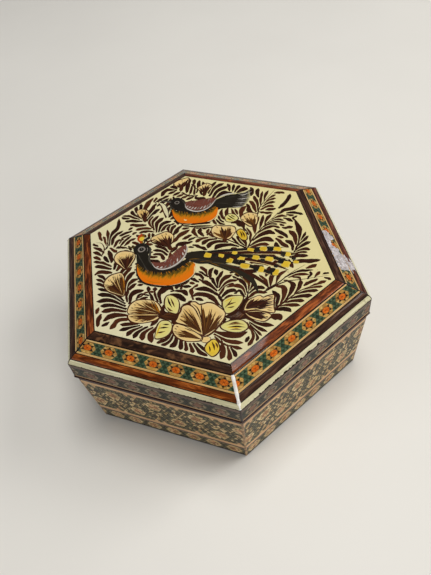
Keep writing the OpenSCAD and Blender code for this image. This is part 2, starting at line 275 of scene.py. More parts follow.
def solid_wood(name, dark, mid, light, sx, sy, sz, gloss=0.0):
    """Wood for the pieces that keep the model's own shape: grain laid through the solid."""
    m = Mat(name, Coat_Weight=gloss, Coat_Roughness=0.12, Specular_IOR_Level=0.3)
    g = m.noise(m.obj(sx, sy, sz), 1.0, 5, 0.62, 0.8)
    p = m.noise(m.obj(sx * 3, sy * 3, sz * 3), 1.0, 3, 0.7)
    c = m.ramp(g, [(0.3, srgb(*dark)), (0.5, srgb(*mid)), (0.7, srgb(*light))])
    c = m.mix(m.fac(p, 0.58, 0.74, 0.0, 0.55), c, m.mix(1.0, c, (0.4, 0.34, 0.28, 1), "MULTIPLY"))
    st = m.noise(m.obj(), 60, 3, 0.6)
    c = m.mix(m.fac(st, 0.55, 0.75, 0.0, 0.35), c, srgb(*dark))
    m.colour(c)
    m.rough(m.fac(p, 0.3, 0.7, 0.45, 0.75))
    m.bump(p, 0.00006, 0.6)
    return m.m


M["core_wood"] = solid_wood("core_wood", (112, 74, 42), (150, 108, 66), (178, 136, 90), 60, 260, 900)
M["board_wood"] = solid_wood("board_wood", (104, 66, 38), (140, 98, 58), (168, 126, 82), 60, 900, 900)


def brass_mat():
    m = Mat("brass_aged", Metallic=1.0)
    t = m.noise(m.obj(), 420, 5, 0.65, 0.6)
    sc = m.noise(m.obj(300, 6200, 1600), 1.0, 3, 0.6)
    c = m.ramp(t, [(0.3, srgb(104, 74, 34)), (0.48, srgb(168, 128, 62)), (0.66, srgb(202, 164, 92))])
    c = m.mix(m.fac(sc, 0.6, 0.7, 0.0, 0.4), c, srgb(222, 190, 122))
    gr = m.noise(m.obj(), 1500, 3, 0.7)
    c = m.mix(m.fac(gr, 0.6, 0.75, 0.0, 0.6), c, srgb(58, 44, 26))
    m.colour(c)
    m.rough(m.fac(t, 0.3, 0.7, 0.5, 0.24))
    m.bump(sc, 0.00003, 0.7)
    return m.m


M["brass"] = brass_mat()


def bone_mat():
    m = Mat("bone", Coat_Weight=1.0, Coat_Roughness=0.06, Coat_IOR=1.5, Specular_IOR_Level=0.1)
    g = m.noise(m.uv(60, 1800), 1.0, 4, 0.6, 0.5)
    c = m.ramp(g, [(0.3, srgb(178, 172, 134)), (0.52, srgb(206, 200, 162)), (0.75, srgb(226, 220, 188))])
    d = m.noise(m.obj(), 260, 4, 0.7, 0.6)
    c = m.mix(m.fac(d, 0.56, 0.74, 0.0, 0.6), c, srgb(104, 88, 58))
    tick = m.noise(m.uv(900, 60, loc=(7, 2, 0)), 1.0, 2, 0.5)
    c = m.mix(m.fac(tick, 0.66, 0.72, 0.0, 0.5), c, srgb(92, 74, 46))
    m.colour(c)
    m.rough(m.fac(g, 0.3, 0.7, 0.3, 0.45))
    m.bump(g, 0.00002, 0.5)
    return m.m


M["bone"] = bone_mat()


def worn_mat():
    """Where the surface has flaked away to a silvery ground, with remains of the pattern."""
    m = Mat("worn_silver", Coat_Weight=0.35, Coat_Roughness=0.25, Specular_IOR_Level=0.4)
    g = m.noise(m.obj(), 520, 5, 0.7, 0.5)
    c = m.ramp(g, [(0.32, srgb(128, 120, 120)), (0.5, srgb(186, 180, 182)), (0.68, srgb(222, 216, 218))])
    r = m.noise(m.obj(), 1300, 3, 0.6, 0.3)
    c = m.mix(m.fac(r, 0.54, 0.64, 0.0, 0.8), c, srgb(124, 102, 92))
    q = m.noise(m.obj(loc=(3, 1, 0)), 900, 3, 0.6, 0.3)
    c = m.mix(m.fac(q, 0.57, 0.66, 0.0, 0.7), c, srgb(104, 108, 106))
    m.colour(c)
    m.rough(m.fac(g, 0.3, 0.7, 0.6, 0.3))
    m.bump(g, 0.00006, 0.8)
    return m.m


M["worn"] = worn_mat()


# ------------------------------------------------------------------ geometry helpers

class Strip:
    """A flat band of side k, from section point p0 to p1 (a, z in mm); s runs along the side, v from p0 to p1."""

    def __init__(self, k, p0, p1):
        self.k = k
        f = math.radians(-90 + 60 * k)
        self.n = (math.cos(f), math.sin(f))
        self.t = (-math.sin(f), math.cos(f))
        self.a0, self.z0 = p0
        self.L = math.hypot(p1[0] - p0[0], p1[1] - p0[1])
        self.da, self.dz = (p1[0] - p0[0]) / self.L, (p1[1] - p0[1]) / self.L
        self.na, self.nz = -self.dz, self.da

    def half(self, v, end):
        return (self.a0 + self.da * v) * T30 - end

    def pt(self, s, v, h):
        a = self.a0 + self.da * v + self.na * h
        z = self.z0 + self.dz * v + self.nz * h
        return (self.n[0] * a + self.t[0] * s, self.n[1] * a + self.t[1] * s, z)


class Build:
    """Collects vertices (mm), faces, materials, two UV maps and a tone per face, and makes the object."""

    def __init__(self, name):
        self.name = name
        self.v, self.f, self.m, self.g, self.b, self.r = [], [], [], [], [], []
        self.mats = []

    def vert(self, p):
        self.v.append(p)
        return len(self.v) - 1

    def mat(self, name):
        if name not in self.mats:
            self.mats.append(name)
        return self.mats.index(name)

    def face(self, idx, mat, grain, bake, rnd=0.5):
        self.f.append(list(idx))
        self.m.append(self.mat(mat))
        self.g.append(grain)
        self.b.append(bake)
        self.r.append(rnd)

    def make(self, body, slot, replaces=(), smooth=35, clamp=True):
        me = bpy.data.meshes.new(self.name)
        co = np.array(self.v, float).reshape(-1, 3)
        if clamp:
            over = np.maximum(co[:, 1] - (AXIS_Y - GG), 0.0)
            free = over > 0
            if body == "lid":
                low = AXIS_Z + GG + 0.02 + over * GROOVE
                near = free & (co[:, 2] < low)
                co[near, 2] = low[near]
            else:
                high = AXIS_Z - GG - 0.02 - over * GROOVE
                near = free & (co[:, 2] > high)
                co[near, 2] = high[near]
        me.from_pydata((co * MM).tolist(), [], self.f)
        for n in self.mats:
            me.materials.append(M[n])
        me.polygons.foreach_set("material_index", np.array(self.m, np.int32))
        me.polygons.foreach_set("use_smooth", np.ones(len(self.f), bool))
        g = me.uv_layers.new(name="Grain")
        g.data.foreach_set("uv", np.array([c for f in self.g for p in f for c in p], np.float32))
        if any(b is not None for b in self.b):
            b = me.uv_layers.new(name="OFBake")
            b.data.foreach_set("uv", np.array([c for f in self.b for p in f for c in p], np.float32))
        at = me.attributes.new("rnd", "FLOAT", "FACE")
        at.data.foreach_set("value", np.array(self.r, np.float32))
        me.uv_layers.active = g
        g.active_render = True
        me.update()
        me.set_sharp_from_angle(angle=math.radians(smooth))
        ob = bpy.data.objects.new(self.name, me)
        bpy.context.scene.collection.objects.link(ob)
        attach(ob, body)
        if replaces:
            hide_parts(*replaces)
        MAKE.append(ob)
        return ob


def clip(poly, a, b, c):
    """The part of a convex polygon where a x + b y <= c."""
    out = []
    for i in range(len(poly)):
        p, q = poly[i], poly[(i + 1) % len(poly)]
        dp, dq = a * p[0] + b * p[1] - c, a * q[0] + b * q[1] - c
        if dp <= 1e-7:
            out.append(p)
        if (dp < -1e-7 and dq > 1e-7) or (dp > 1e-7 and dq < -1e-7):
            t = dp / (dp - dq)
            out.append((p[0] + (q[0] - p[0]) * t, p[1] + (q[1] - p[1]) * t))
    return out


def area(poly):
    return 0.5 * sum(poly[i][0] * poly[(i + 1) % len(poly)][1] - poly[(i + 1) % len(poly)][0] * poly[i][1]
                     for i in range(len(poly)))


def inset(poly, gs):
    """A convex polygon (positive area) with each edge moved in by its own amount, or None."""
    lines = []
    n = len(poly)
    for i in range(n):
        p, q = poly[i], poly[(i + 1) % n]
        dx, dy = q[0] - p[0], q[1] - p[1]
        d = math.hypot(dx, dy)
        if d < 1e-4:
            return None
        nx, ny = -dy / d, dx / d
        lines.append((nx, ny, nx * p[0] + ny * p[1] + gs[i]))
    out = []
    for i in range(n):
        a1, b1, c1 = lines[i - 1]
        a2, b2, c2 = lines[i]
        det = a1 * b2 - a2 * b1
        if abs(det) < 1e-6:
            return None
        out.append(((c1 * b2 - c2 * b1) / det, (a1 * c2 - a2 * c1) / det))
    for i in range(n):
        p, q = poly[i], poly[(i + 1) % n]
        u, w = out[i], out[(i + 1) % n]
        if (q[0] - p[0]) * (w[0] - u[0]) + (q[1] - p[1]) * (w[1] - u[1]) <= 0:
            return None
    return out


class Bake:
    """Folds a long strip into rows of a square map."""

    def __init__(self, half, v0, v1, rows):
        self.lo, self.w, self.v0, self.h, self.rows = -half, 2 * half, v0, v1 - v0, rows
        self.row = self.w / rows
        self.pad = 1.2

    def at(self, pts, s_mid):
        r = min(self.rows - 1, max(0, int((s_mid - self.lo) / self.row)))
        s0 = self.lo + r * self.row
        out = []
        for s, v in pts:
            u = (s - s0 + self.pad) / (self.row + 2 * self.pad)
            w = (r + 0.03 + 0.94 * (v - self.v0) / self.h) / self.rows
            out.append((0.005 + 0.99 * u, 0.93 * w))
        return out

    def side(self, s1, s2):
        a, b = [0.01 + 0.98 * (s - self.lo) / self.w for s in (s1, s2)]
        return a, b


PALE = ("cream", "gold", "orange", "core", "pink", "beige", "rosy", "tan", "lid_pale", "lid_pink")


def tiles(bd, strip, v0, v1, end, t, rows_h, v_ref, s_ref, colour, g_same=0.014, g_other=0.045, low=-0.045,
          depth=-0.75, rows=4, seed=1, wobble=0.03):
    """Marquetry of triangles between v0 and v1: a lattice of side t and row height rows_h, each tile's top
    inside thin lower glue lines, on a closed slab."""
    rng = random.Random(seed * 1009 + strip.k)
    w0, w1 = strip.half(v0, end), strip.half(v1, end)
    hw = max(w0, w1)
    # mitre lines: |s| <= w0 + (w1 - w0) * (v - v0) / (v1 - v0)
    sl = (w1 - w0) / (v1 - v0)
    jit = {}

    def node(n, m):
        key = (n, m)
        if key not in jit:
            s = s_ref + (m + 0.5 * (n & 1)) * t
            jit[key] = (s + rng.uniform(-1, 1) * wobble, v_ref + n * rows_h + rng.uniform(-1, 1) * wobble * 0.6)
        return jit[key]

    polys = []
    n0, n1 = math.floor((v0 - v_ref) / rows_h - 1e-6), math.ceil((v1 - v_ref) / rows_h + 1e-6)
    m0, m1 = math.floor((-hw - s_ref) / t) - 2, math.ceil((hw - s_ref) / t) + 2
    for n in range(n0, n1):
        odd = n & 1
        for m in range(m0, m1):
            # apex on line n at m, base on line n+1
            up = [node(n, m), node(n + 1, m - 1 + odd), node(n + 1, m + odd)]
            dn = [node(n, m), node(n + 1, m + odd), node(n, m + 1)]
            for kind, tri, x in (("U", up, m + 0.5 * odd), ("D", dn, m + 0.5 + 0.5 * odd)):
                p = tri
                p = clip(p, 0, -1, -v0)
                if len(p) > 2:
                    p = clip(p, 0, 1, v1)
                if len(p) > 2:
                    p = clip(p, 1, -sl, w0 - sl * v0)
                if len(p) > 2:
                    p = clip(p, -1, -sl, w0 - sl * v0)
                if len(p) < 3 or abs(area(p)) < 1e-4:
                    continue
                if area(p) < 0:
                    p = p[::-1]
                polys.append((p, colour(n, x, kind, rng)))
    key = lambda q: (round(q[0] * 2000), round(q[1] * 2000))
    clean = []
    for p, c in polys:
        ks, out = [], []
        for q in p:
            if not ks or (key(q) != ks[-1]):
                ks.append(key(q))
                out.append(q)
        if len(ks) > 1 and ks[0] == ks[-1]:
            ks.pop()
            out.pop()
        if len(out) > 2:
            clean.append((out, ks, c))
    owner = {}
    for i, (p, ks, c) in enumerate(clean):
        for j in range(len(ks)):
            owner.setdefault(frozenset((ks[j], ks[(j + 1) % len(ks)])), []).append((i, j))
    bk = Bake(hw, v0, v1, rows)
    ids = {}

    def ground(q, kq):
        if kq not in ids:
            ids[kq] = bd.vert(strip.pt(q[0], q[1], low))
        return ids[kq]

    rim = []
    for i, (p, ks, c) in enumerate(clean):
        mid = sum(q[0] for q in p) / len(p)
        gs = []
        for j in range(len(p)):
            own = owner[frozenset((ks[j], ks[(j + 1) % len(ks)]))]
            if len(own) < 2:
                gs.append(0.02)
                rim.append((ks[j], ks[(j + 1) % len(ks)], p[j], p[(j + 1) % len(p)]))
            else:
                other = own[0][0] if own[1][0] == i else own[1][0]
                pair = {clean[other][2][0], c[0]}
                gs.append(0.042 if pair == {"cream"} else g_same if len(pair) == 1 or pair == {"teal", "moss"} else g_other)
        base = [ground(q, kq) for q, kq in zip(p, ks)]
        top = inset(p, gs)
        tone = c[1] if len(c) > 1 else rng.random()
        if top is None:
            bd.face(base[::-1], c[0], [(q[0] * MM, q[1] * MM) for q in p][::-1], bk.at(p, mid)[::-1], tone)
            continue
        lift = rng.uniform(-0.012, 0.006)
        tv = [bd.vert(strip.pt(q[0], q[1], lift)) for q in top]
        small = inset(top, [c[3]] * len(top)) if len(c) > 3 else None
        if small is None:
            bd.face(tv[::-1], c[0], [(q[0] * MM, q[1] * MM) for q in top][::-1], bk.at(top, mid)[::-1], tone)
        else:
            sv = [bd.vert(strip.pt(q[0], q[1], lift)) for q in small]
            bd.face(sv[::-1], c[2], [(q[0] * MM, q[1] * MM) for q in small][::-1], bk.at(small, mid)[::-1], tone)
            for j in range(len(p)):
                k2 = (j + 1) % len(p)
                ring = [top[j], top[k2], small[k2], small[j]]
                idx = [tv[j], tv[k2], sv[k2], sv[j]]
                bd.face(idx[::-1], c[0], [(q[0] * MM, q[1] * MM) for q in ring][::-1], bk.at(ring, mid)[::-1], tone)
        seam = "glue_warm" if c[0] in PALE else "glue"
        for j in range(len(p)):
            k2 = (j + 1) % len(p)
            ring = [p[j], p[k2], top[k2], top[j]]
            idx = [base[j], base[k2], tv[k2], tv[j]]
            bd.face(idx[::-1], seam, [(q[0] * MM, q[1] * MM) for q in ring][::-1], bk.at(ring, mid)[::-1], tone)
    # walls and underside
    deep = {}

    def below(q, kq):
        if kq not in deep:
            deep[kq] = bd.vert(strip.pt(q[0], q[1], depth))
        return deep[kq]

    nxt = {}
    for ka, kb, p, q in rim:
        a, b = ids[ka], ids[kb]
        c, d = below(q, kb), below(p, ka)
        u1, u2 = bk.side(p[0], q[0])
        if abs(u1 - u2) < 0.002:
            u2 = u1 + 0.004
        bd.face([a, b, c, d], "glue", [(p[0] * MM, 0), (q[0] * MM, 0), (q[0] * MM, .0007), (p[0] * MM, .0007)],
                [(u1, 0.945), (u2, 0.945), (u2, 0.955), (u1, 0.955)])
        nxt[ka] = (kb, p)
    loop = []
    start = next(iter(nxt))
    k_ = start
    while True:
        kb, p = nxt[k_]
        loop.append((k_, p))
        k_ = kb
        if k_ == start or len(loop) > len(nxt):
            break
    loop = [(kq, q) for kq, q in loop]
    bd.face([deep[kq] for kq, q in loop], "glue", [(q[0] * MM, q[1] * MM) for kq, q in loop],
            [(0.01 + 0.98 * (q[0] + hw) / (2 * hw), 0.965 + 0.03 * (q[1] - v0) / (v1 - v0)) for kq, q in loop])


def bar(bd, strip, v0, v1, end, mat, crown=0.0, depth=-0.75, cols=26, across=4, edge=0.03, lift=0.0, nick=None,
        seed=3, wave=0.0, tone=None, side_mat=None):
    """One strip of wood, bone or line: a closed solid with a crowned top whose edges are eased."""
    rng = np.random.RandomState(seed * 31 + strip.k)
    ph = rng.uniform(0, 6.28, 6)
    fs = rng.uniform(0.12, 0.9, 6)
    vs = [0.0, 0.10] + [i / across for i in range(1, across)] + [0.90, 1.0]
    vs = sorted(set(round(x, 4) for x in vs))
    ss = np.linspace(-1, 1, cols)
    top, bot = [], []
    W = v1 - v0
    for i, s in enumerate(ss):
        ct, cb = [], []
        for x in vs:
            hw = strip.half(v0 + W * x, end)
            ds = s * hw
            vv = v0 + W * x
            if nick is not None and x == 1.0:
                vv -= nick(ds)
            elif nick is not None and x >= 0.9:
                vv = min(vv, v1 - nick(ds) - 0.03)
            h = lift + crown * (1 - (2 * x - 1) ** 2)
            if x in (0.0, 1.0):
                h -= edge
            h += wave * float(np.sin(fs * ds + ph + 3 * x).sum()) / 6
            ct.append(bd.vert(strip.pt(ds, vv, h)))
            cb.append((ds, vv))
        top.append((ct, cb))
        bot.append([bd.vert(strip.pt(s * strip.half(v, end), v, depth)) for v in (v0, v1)])
    hw = strip.half(max(v0, v1), end)
    rows = 4 if W < 4 else 2
    bk = Bake(max(strip.half(v0, end), strip.half(v1, end)), v0, v1, rows)
    off = (seed * 0.0137 + strip.k * 0.0731) % 1.0
    for i in range(cols - 1):
        (a, ac), (b, bc) = top[i], top[i + 1]
        mid = (ac[0][0] + bc[0][0]) / 2
        for j in range(len(vs) - 1):
            idx = [a[j], a[j + 1], b[j + 1], b[j]]
            pts = [ac[j], ac[j + 1], bc[j + 1], bc[j]]
            bd.face(idx, mat, [(q[0] * MM + off, q[1] * MM + off * 0.37) for q in pts], bk.at(pts, mid),
                    rng.rand() if tone is None else tone)
        u1, u2 = bk.side(ac[0][0], bc[0][0])
        sm = side_mat or mat
        for (x, bj, flip) in ((0, 0, 0), (len(vs) - 1, 1, 1)):
            idx = [a[x], b[x], bot[i + 1][bj], bot[i][bj]]
            uvw = [(ac[x][0] * MM + off, 0), (bc[x][0] * MM + off, 0), (bc[x][0] * MM + off, .0007),
                   (ac[x][0] * MM + off, .0007)]
            y = 0.94 + 0.012 * flip
            bkk = [(u1, y), (u2, y), (u2, y + 0.01), (u1, y + 0.01)]
            if flip:
                idx, uvw, bkk = idx[::-1], uvw[::-1], bkk[::-1]
            bd.face(idx, sm, uvw, bkk)
        bd.face([bot[i][1], bot[i][0], bot[i + 1][0], bot[i + 1][1]], sm,
                [(0, 0), (0, .001), (.001, .001), (.001, 0)],
                [(u1, 0.97), (u1, 0.98), (u2, 0.98), (u2, 0.97)])
    for i, flip in ((0, 0), (cols - 1, 1)):
        idx = top[i][0] + [bot[i][1], bot[i][0]]
        pts = [(0, q[1] * MM) for q in top[i][1]] + [(.0007, v1 * MM), (.0007, v0 * MM)]
        bkk = [(0.01 + 0.3 * flip + 0.2 * j / len(idx), 0.985 + 0.01 * (j % 2)) for j in range(len(idx))]
        if not flip:
            idx, pts, bkk = idx[::-1], pts[::-1], bkk[::-1]
        bd.face(idx, side_mat or mat, pts, bkk)


# ------------------------------------------------------------------ patterns

R3 = math.sqrt(3) / 2


def hexnorm(x, y):
    """How many tile sides the hexagon through (x, y) has; y is in rows."""
    y = y * R3
    return max(abs(y), abs(x * R3 + y * 0.5), abs(x * R3 - y * 0.5)) / R3


def centroid(n, kind):
    return (n + 2 / 3) if kind == "U" else (n + 1 / 3)


def rosette(x, y, rng, soft=False):
    """Colour of the tile at (x, y) of a rosette of side 2, or None outside it."""
    if hexnorm(x, y) > 2:
        return None
    r = math.hypot(x, y * R3)
    if soft == "lid":
        if r < 0.7:
            return ("lid_pink", rng.random())
        if r < 1.3:
            return ("lid_mid" if rng.random() < 0.7 else "lid_pink", rng.random(), "lid_dark", 0.12)
        return ("lid_pale", rng.random())
    if soft:
        if r < 0.7:
            return ("tan" if rng.random() < 0.5 else "rosy", rng.random())
        if r < 1.3:
            return ("rosy" if rng.random() < 0.6 else "beige", rng.random(), "umber", 0.17)
        return ("beige", rng.random())
    if r < 0.7:
        return ("core", rng.random(), "orange", 0.05)
    if r < 1.3:
        return ("cream", rng.random(), "black", 0.045)
    return ("cream", rng.random())


def band_colours(pitch=5, shift=0, soft=False):
    def colour(n, x, kind, rng):
        y = centroid(n, kind)
        c = round((x - shift) / pitch) * pitch + shift
        got = rosette(x - c, y, rng, soft)
        if got:
            return got
        upper = y < 0
        pale, deep_ = {"lid": ("lid_green", "lid_dark"), True: ("sage", "sage_dark"), False: ("teal", "moss")}[soft]
        return (pale if (kind == "D") == upper else deep_, rng.random())
    return colour


def field_colours(n, x, kind, rng):
    """Two staggered rows of ringed rosettes with small hanging and rising tiles between them."""
    y = centroid(n, kind)
    best = None
    for row, sh in ((-3, 0.0), (3, 5.0)):
        c = round((x - 0.5 - sh) / 10) * 10 + sh + 0.5
        hn = hexnorm(x - c, y - row)
        if best is None or hn < best[0]:
            best = (hn, x - c, y - row, row)
    hn, dx, dy, row = best
    if hn <= 3:
        got = rosette(dx, dy, rng, True)
        if got:
            return got
        if kind == "U":
            return ("sage_dark", rng.random())
        q = rng.random()
        return ("beige" if q < 0.30 else "sage", rng.random())
    # between the rings: work in the cell of the nearer gap, mirrored so that its row's edge is at y = -7
    row = -3 if y < 0 else 3
    sh = 5.0 if row < 0 else 0.0
    c = round((x - 0.5 - sh) / 10) * 10 + sh + 0.5
    u = abs(x - c)
    w = y if row < 0 else -y                     # -7 at the cream line, 0 at the middle
    pointing_mid = (kind == "D") == (row < 0)    # the tile's tip looks at the middle of the field
    if w < -5:                                   # tiles hanging from the cream line
        if abs(u - 1) < 1 - (w + 7) / 2 + 0.02:
            return ("rosy" if rng.random() < 0.75 else "beige", rng.random())
        return ("sage_dark" if pointing_mid else "sage", rng.random())
    if u < 0.3 and -5 < w < -3:
        return ("beige", rng.random(), "tan", 0.2)
    if w > -1 and abs(u - 1) < 0.3 and not pointing_mid:
        return ("beige" if rng.random() < 0.6 else "rosy", rng.random())
    if w > -1.05 and u < 0.3 and not pointing_mid:
        return ("umber", rng.random())
    if u < 0.8 and -3 < w < -2:
        return ("umber" if pointing_mid else "beige", rng.random())
    if u < 1.3 and -2 < w < -1:
        return ("beige" if pointing_mid else "sage", rng.random())
    if 0.8 < u < 1.3 and -4 < w < -3:
        return ("rosy" if not pointing_mid else "sage_dark", rng.random())
    if pointing_mid:
        return ("beige" if rng.random() < 0.34 else "sage", rng.random())
    return ("sage_dark", rng.random())


# ------------------------------------------------------------------ lid frame

Z = [46.0, 45.03, 42.41, 41.09, 39.71]
A = [40.703, 43.843, 48.233, 50.633, 51.713]
SLOT_F = "frame_marquetry"
END = 0.20
T_BAND = 1.575
CENTRES = {0: -0.45, 1: -2.6, 2: 1.6, 3: -1.2, 4: 2.4, 5: 0.9}

for k, side in enumerate(SIDES):
    node = "frame_marquetry_" + side
    warm_in = k in (1, 3, 5)
    s0 = Strip(k, (A[0], Z[0]), (A[1], Z[1]))
    s1 = Strip(k, (A[1], Z[1]), (A[2], Z[2]))
    s2 = Strip(k, (A[2], Z[2]), (A[3], Z[3]))
    b = Build("frame_inner_stripe_" + side)
    bar(b, s0, 0.36, 3.0, END, "stripe_orange" if warm_in else ("stripe_burl" if k == 0 else "stripe_dark"), crown=0.05,
        seed=5, wave=0.01)
    b.make("lid", SLOT_F, [node])
    b = Build("frame_outer_stripe_" + side)
    bar(b, s2, 0.40, s2.L - 0.30, END, "stripe_dark" if warm_in else ("stripe_amber" if k == 0 else "stripe_rust"), crown=0.05, seed=6, wave=0.01)
    b.make("lid", SLOT_F, [node])
    b = Build("frame_lines_" + side)
    bar(b, s0, 0.0, 0.35, END, "line_dark", seed=7, across=1)
    bar(b, s0, 3.01, s0.L, END, "line_dark", seed=8, across=1)
    bar(b, s1, 0.0, 0.17, END, "line_dark", seed=9, across=1)
    bar(b, s1, 0.18, 0.68, END, "line_cream", seed=10, across=2, crown=0.015)
    bar(b, s1, 0.69, 0.77, END, "line_dark", seed=11, across=1)
    bar(b, s1, 4.54, 4.62, END, "line_dark", seed=12, across=1)
    bar(b, s1, 4.63, s1.L, END, "line_cream", seed=13, across=2, crown=0.015)
    bar(b, s2, 0.0, 0.12, END, "line_cream", seed=14, across=1)
    bar(b, s2, 0.13, 0.39, END, "line_dark", seed=15, across=1)
    bar(b, s2, s2.L - 0.29, s2.L, END, "line_dark", seed=16, across=1)
    b.make("lid", SLOT_F, [node])
    b = Build("frame_rosettes_" + side)
    hrow = (4.53 - 0.78) / 4
    tiles(b, s1, 0.78, 4.53, END, T_BAND, hrow, 0.78 + 2 * hrow, CENTRES[k], band_colours(), seed=21)
    b.make("lid", SLOT_F, [node])

    # bone edge with a nicked lower line
    s3 = Strip(k, (A[3], Z[3]), (A[4], Z[4]))
    nr = random.Random(77 + k)
    nicks = [(nr.uniform(-29, 29), nr.uniform(0.10, 0.30), nr.uniform(0.06, 0.20)) for _ in range(22)]
    if k in (1, 4):
        nicks += [(nr.uniform(-22, 4), nr.uniform(0.14, 0.42), nr.uniform(0.20, 0.55)) for _ in range(34)]
    if k in (0, 3):
        nicks += [(nr.uniform(-14, 24), nr.uniform(0.10, 0.26), nr.uniform(0.12, 0.34)) for _ in range(26)]

    def nick(s, nicks=nicks):
        return min(0.62, sum(d * math.exp(-((s - c) / w) ** 2) for c, w, d in nicks))
    b = Build("bone_edge_new_" + side)
    bar(b, s3, 0.0, s3.L, END, "bone", crown=0.07, depth=-0.6, cols=240, seed=17, nick=nick, edge=0.04,
        side_mat="line_dark")
    b.make("lid", "bone", ["bone_edge_" + side])

# ------------------------------------------------------------------ lid sides

LID_C = {0: 0.3, 1: -2.3, 2: 1.2, 3: 3.1, 4: -1.0, 5: 2.0}
for k, side in enumerate(SIDES):
    node = "lid_khatam_" + side
    st = Strip(k, (A[4], 39.41), (A[4], 32.20))
    b = Build("lid_side_lines_" + side)
    bar(b, st, 0.0, 0.22, END, "line_side", seed=31, across=1)
    bar(b, st, 1.62, 1.78, END, "line_side", seed=32, across=1)
    bar(b, st, 6.20, 6.38, END, "line_side", seed=33, across=1)
    bar(b, st, 6.39, 6.86, END, "line_pink", seed=34, across=1)
    bar(b, st, 6.87, st.L, END, "line_side", seed=35, across=1)
    b.make("lid", "khatam_lid", [node])
    b = Build("lid_side_stripe_" + side)
    bar(b, st, 0.23, 1.61, END, "stripe_grey", crown=0.04, seed=36, wave=0.01)
    b.make("lid", "khatam_lid", [node])
    b = Build("lid_side_rosettes_" + side)
    hrow = (6.19 - 1.79) / 4
    tiles(b, st, 1.79, 6.19, END, 1.53, hrow, 1.79 + 2 * hrow, LID_C[k], band_colours(soft="lid"), seed=41)
    b.make("lid", "khatam_lid", [node])

# ------------------------------------------------------------------ base sides

SL = 0.063344
OUT = lambda z: 51.303 - (31.1 - z) * SL
BASE_C = {0: -2.9, 1: -4.2, 2: 0.8, 3: 2.2, 4: -1.4, 5: 3.6}
LOW_C = {0: 1.0, 1: -1.6, 2: 2.6, 3: -0.8, 4: 0.2, 5: -2.4}
for k, side in enumerate(SIDES):
    node = "base_khatam_" + side
    st = Strip(k, (OUT(30.3), 30.3), (OUT(0.3), 0.3))
    f0, f1 = 2.95, 21.05
    b = Build("base_lines_" + side)
    # the wide dark band at the top, under the lid's lip, is partly painted shade: it lies where the lip's shade falls
    bar(b, st, 0.0, 1.38, END, "line_side", seed=51, across=2)
    bar(b, st, 1.39, 2.94, END, "line_pink", seed=52, across=3, crown=0.02)
    bar(b, st, 21.06, 22.80, END, "line_pink", seed=53, across=3, crown=0.02)
    bar(b, st, 22.81, 23.95, END, "stripe_grey", seed=54, across=2)
    bar(b, st, 28.90, st.L, END, "line_side", seed=55, across=2)
    b.make("base", "khatam_base", [node])
    b = Build("base_field_" + side)
    mid = (f0 + f1) / 2
    tiles(b, st, f0, f1, END, 1.56, 1.37, mid, BASE_C[k] - 0.78, field_colours, seed=61, rows=2)
    b.make("base", "khatam_base", [node])
    b = Build("base_low_rosettes_" + side)
    hrow = (28.89 - 23.96) / 4
    tiles(b, st, 23.96, 28.89, END, 1.55, hrow, 23.96 + 2 * hrow, LOW_C[k], band_colours(soft=True), seed=71)
    b.make("base", "khatam_base", [node])

# ------------------------------------------------------------------ mitres, edgings, linings, fittings

def side_frame(k):
    f = math.radians(-90 + 60 * k)
    return Vector((math.cos(f), math.sin(f), 0)), Vector((-math.sin(f), math.cos(f), 0))


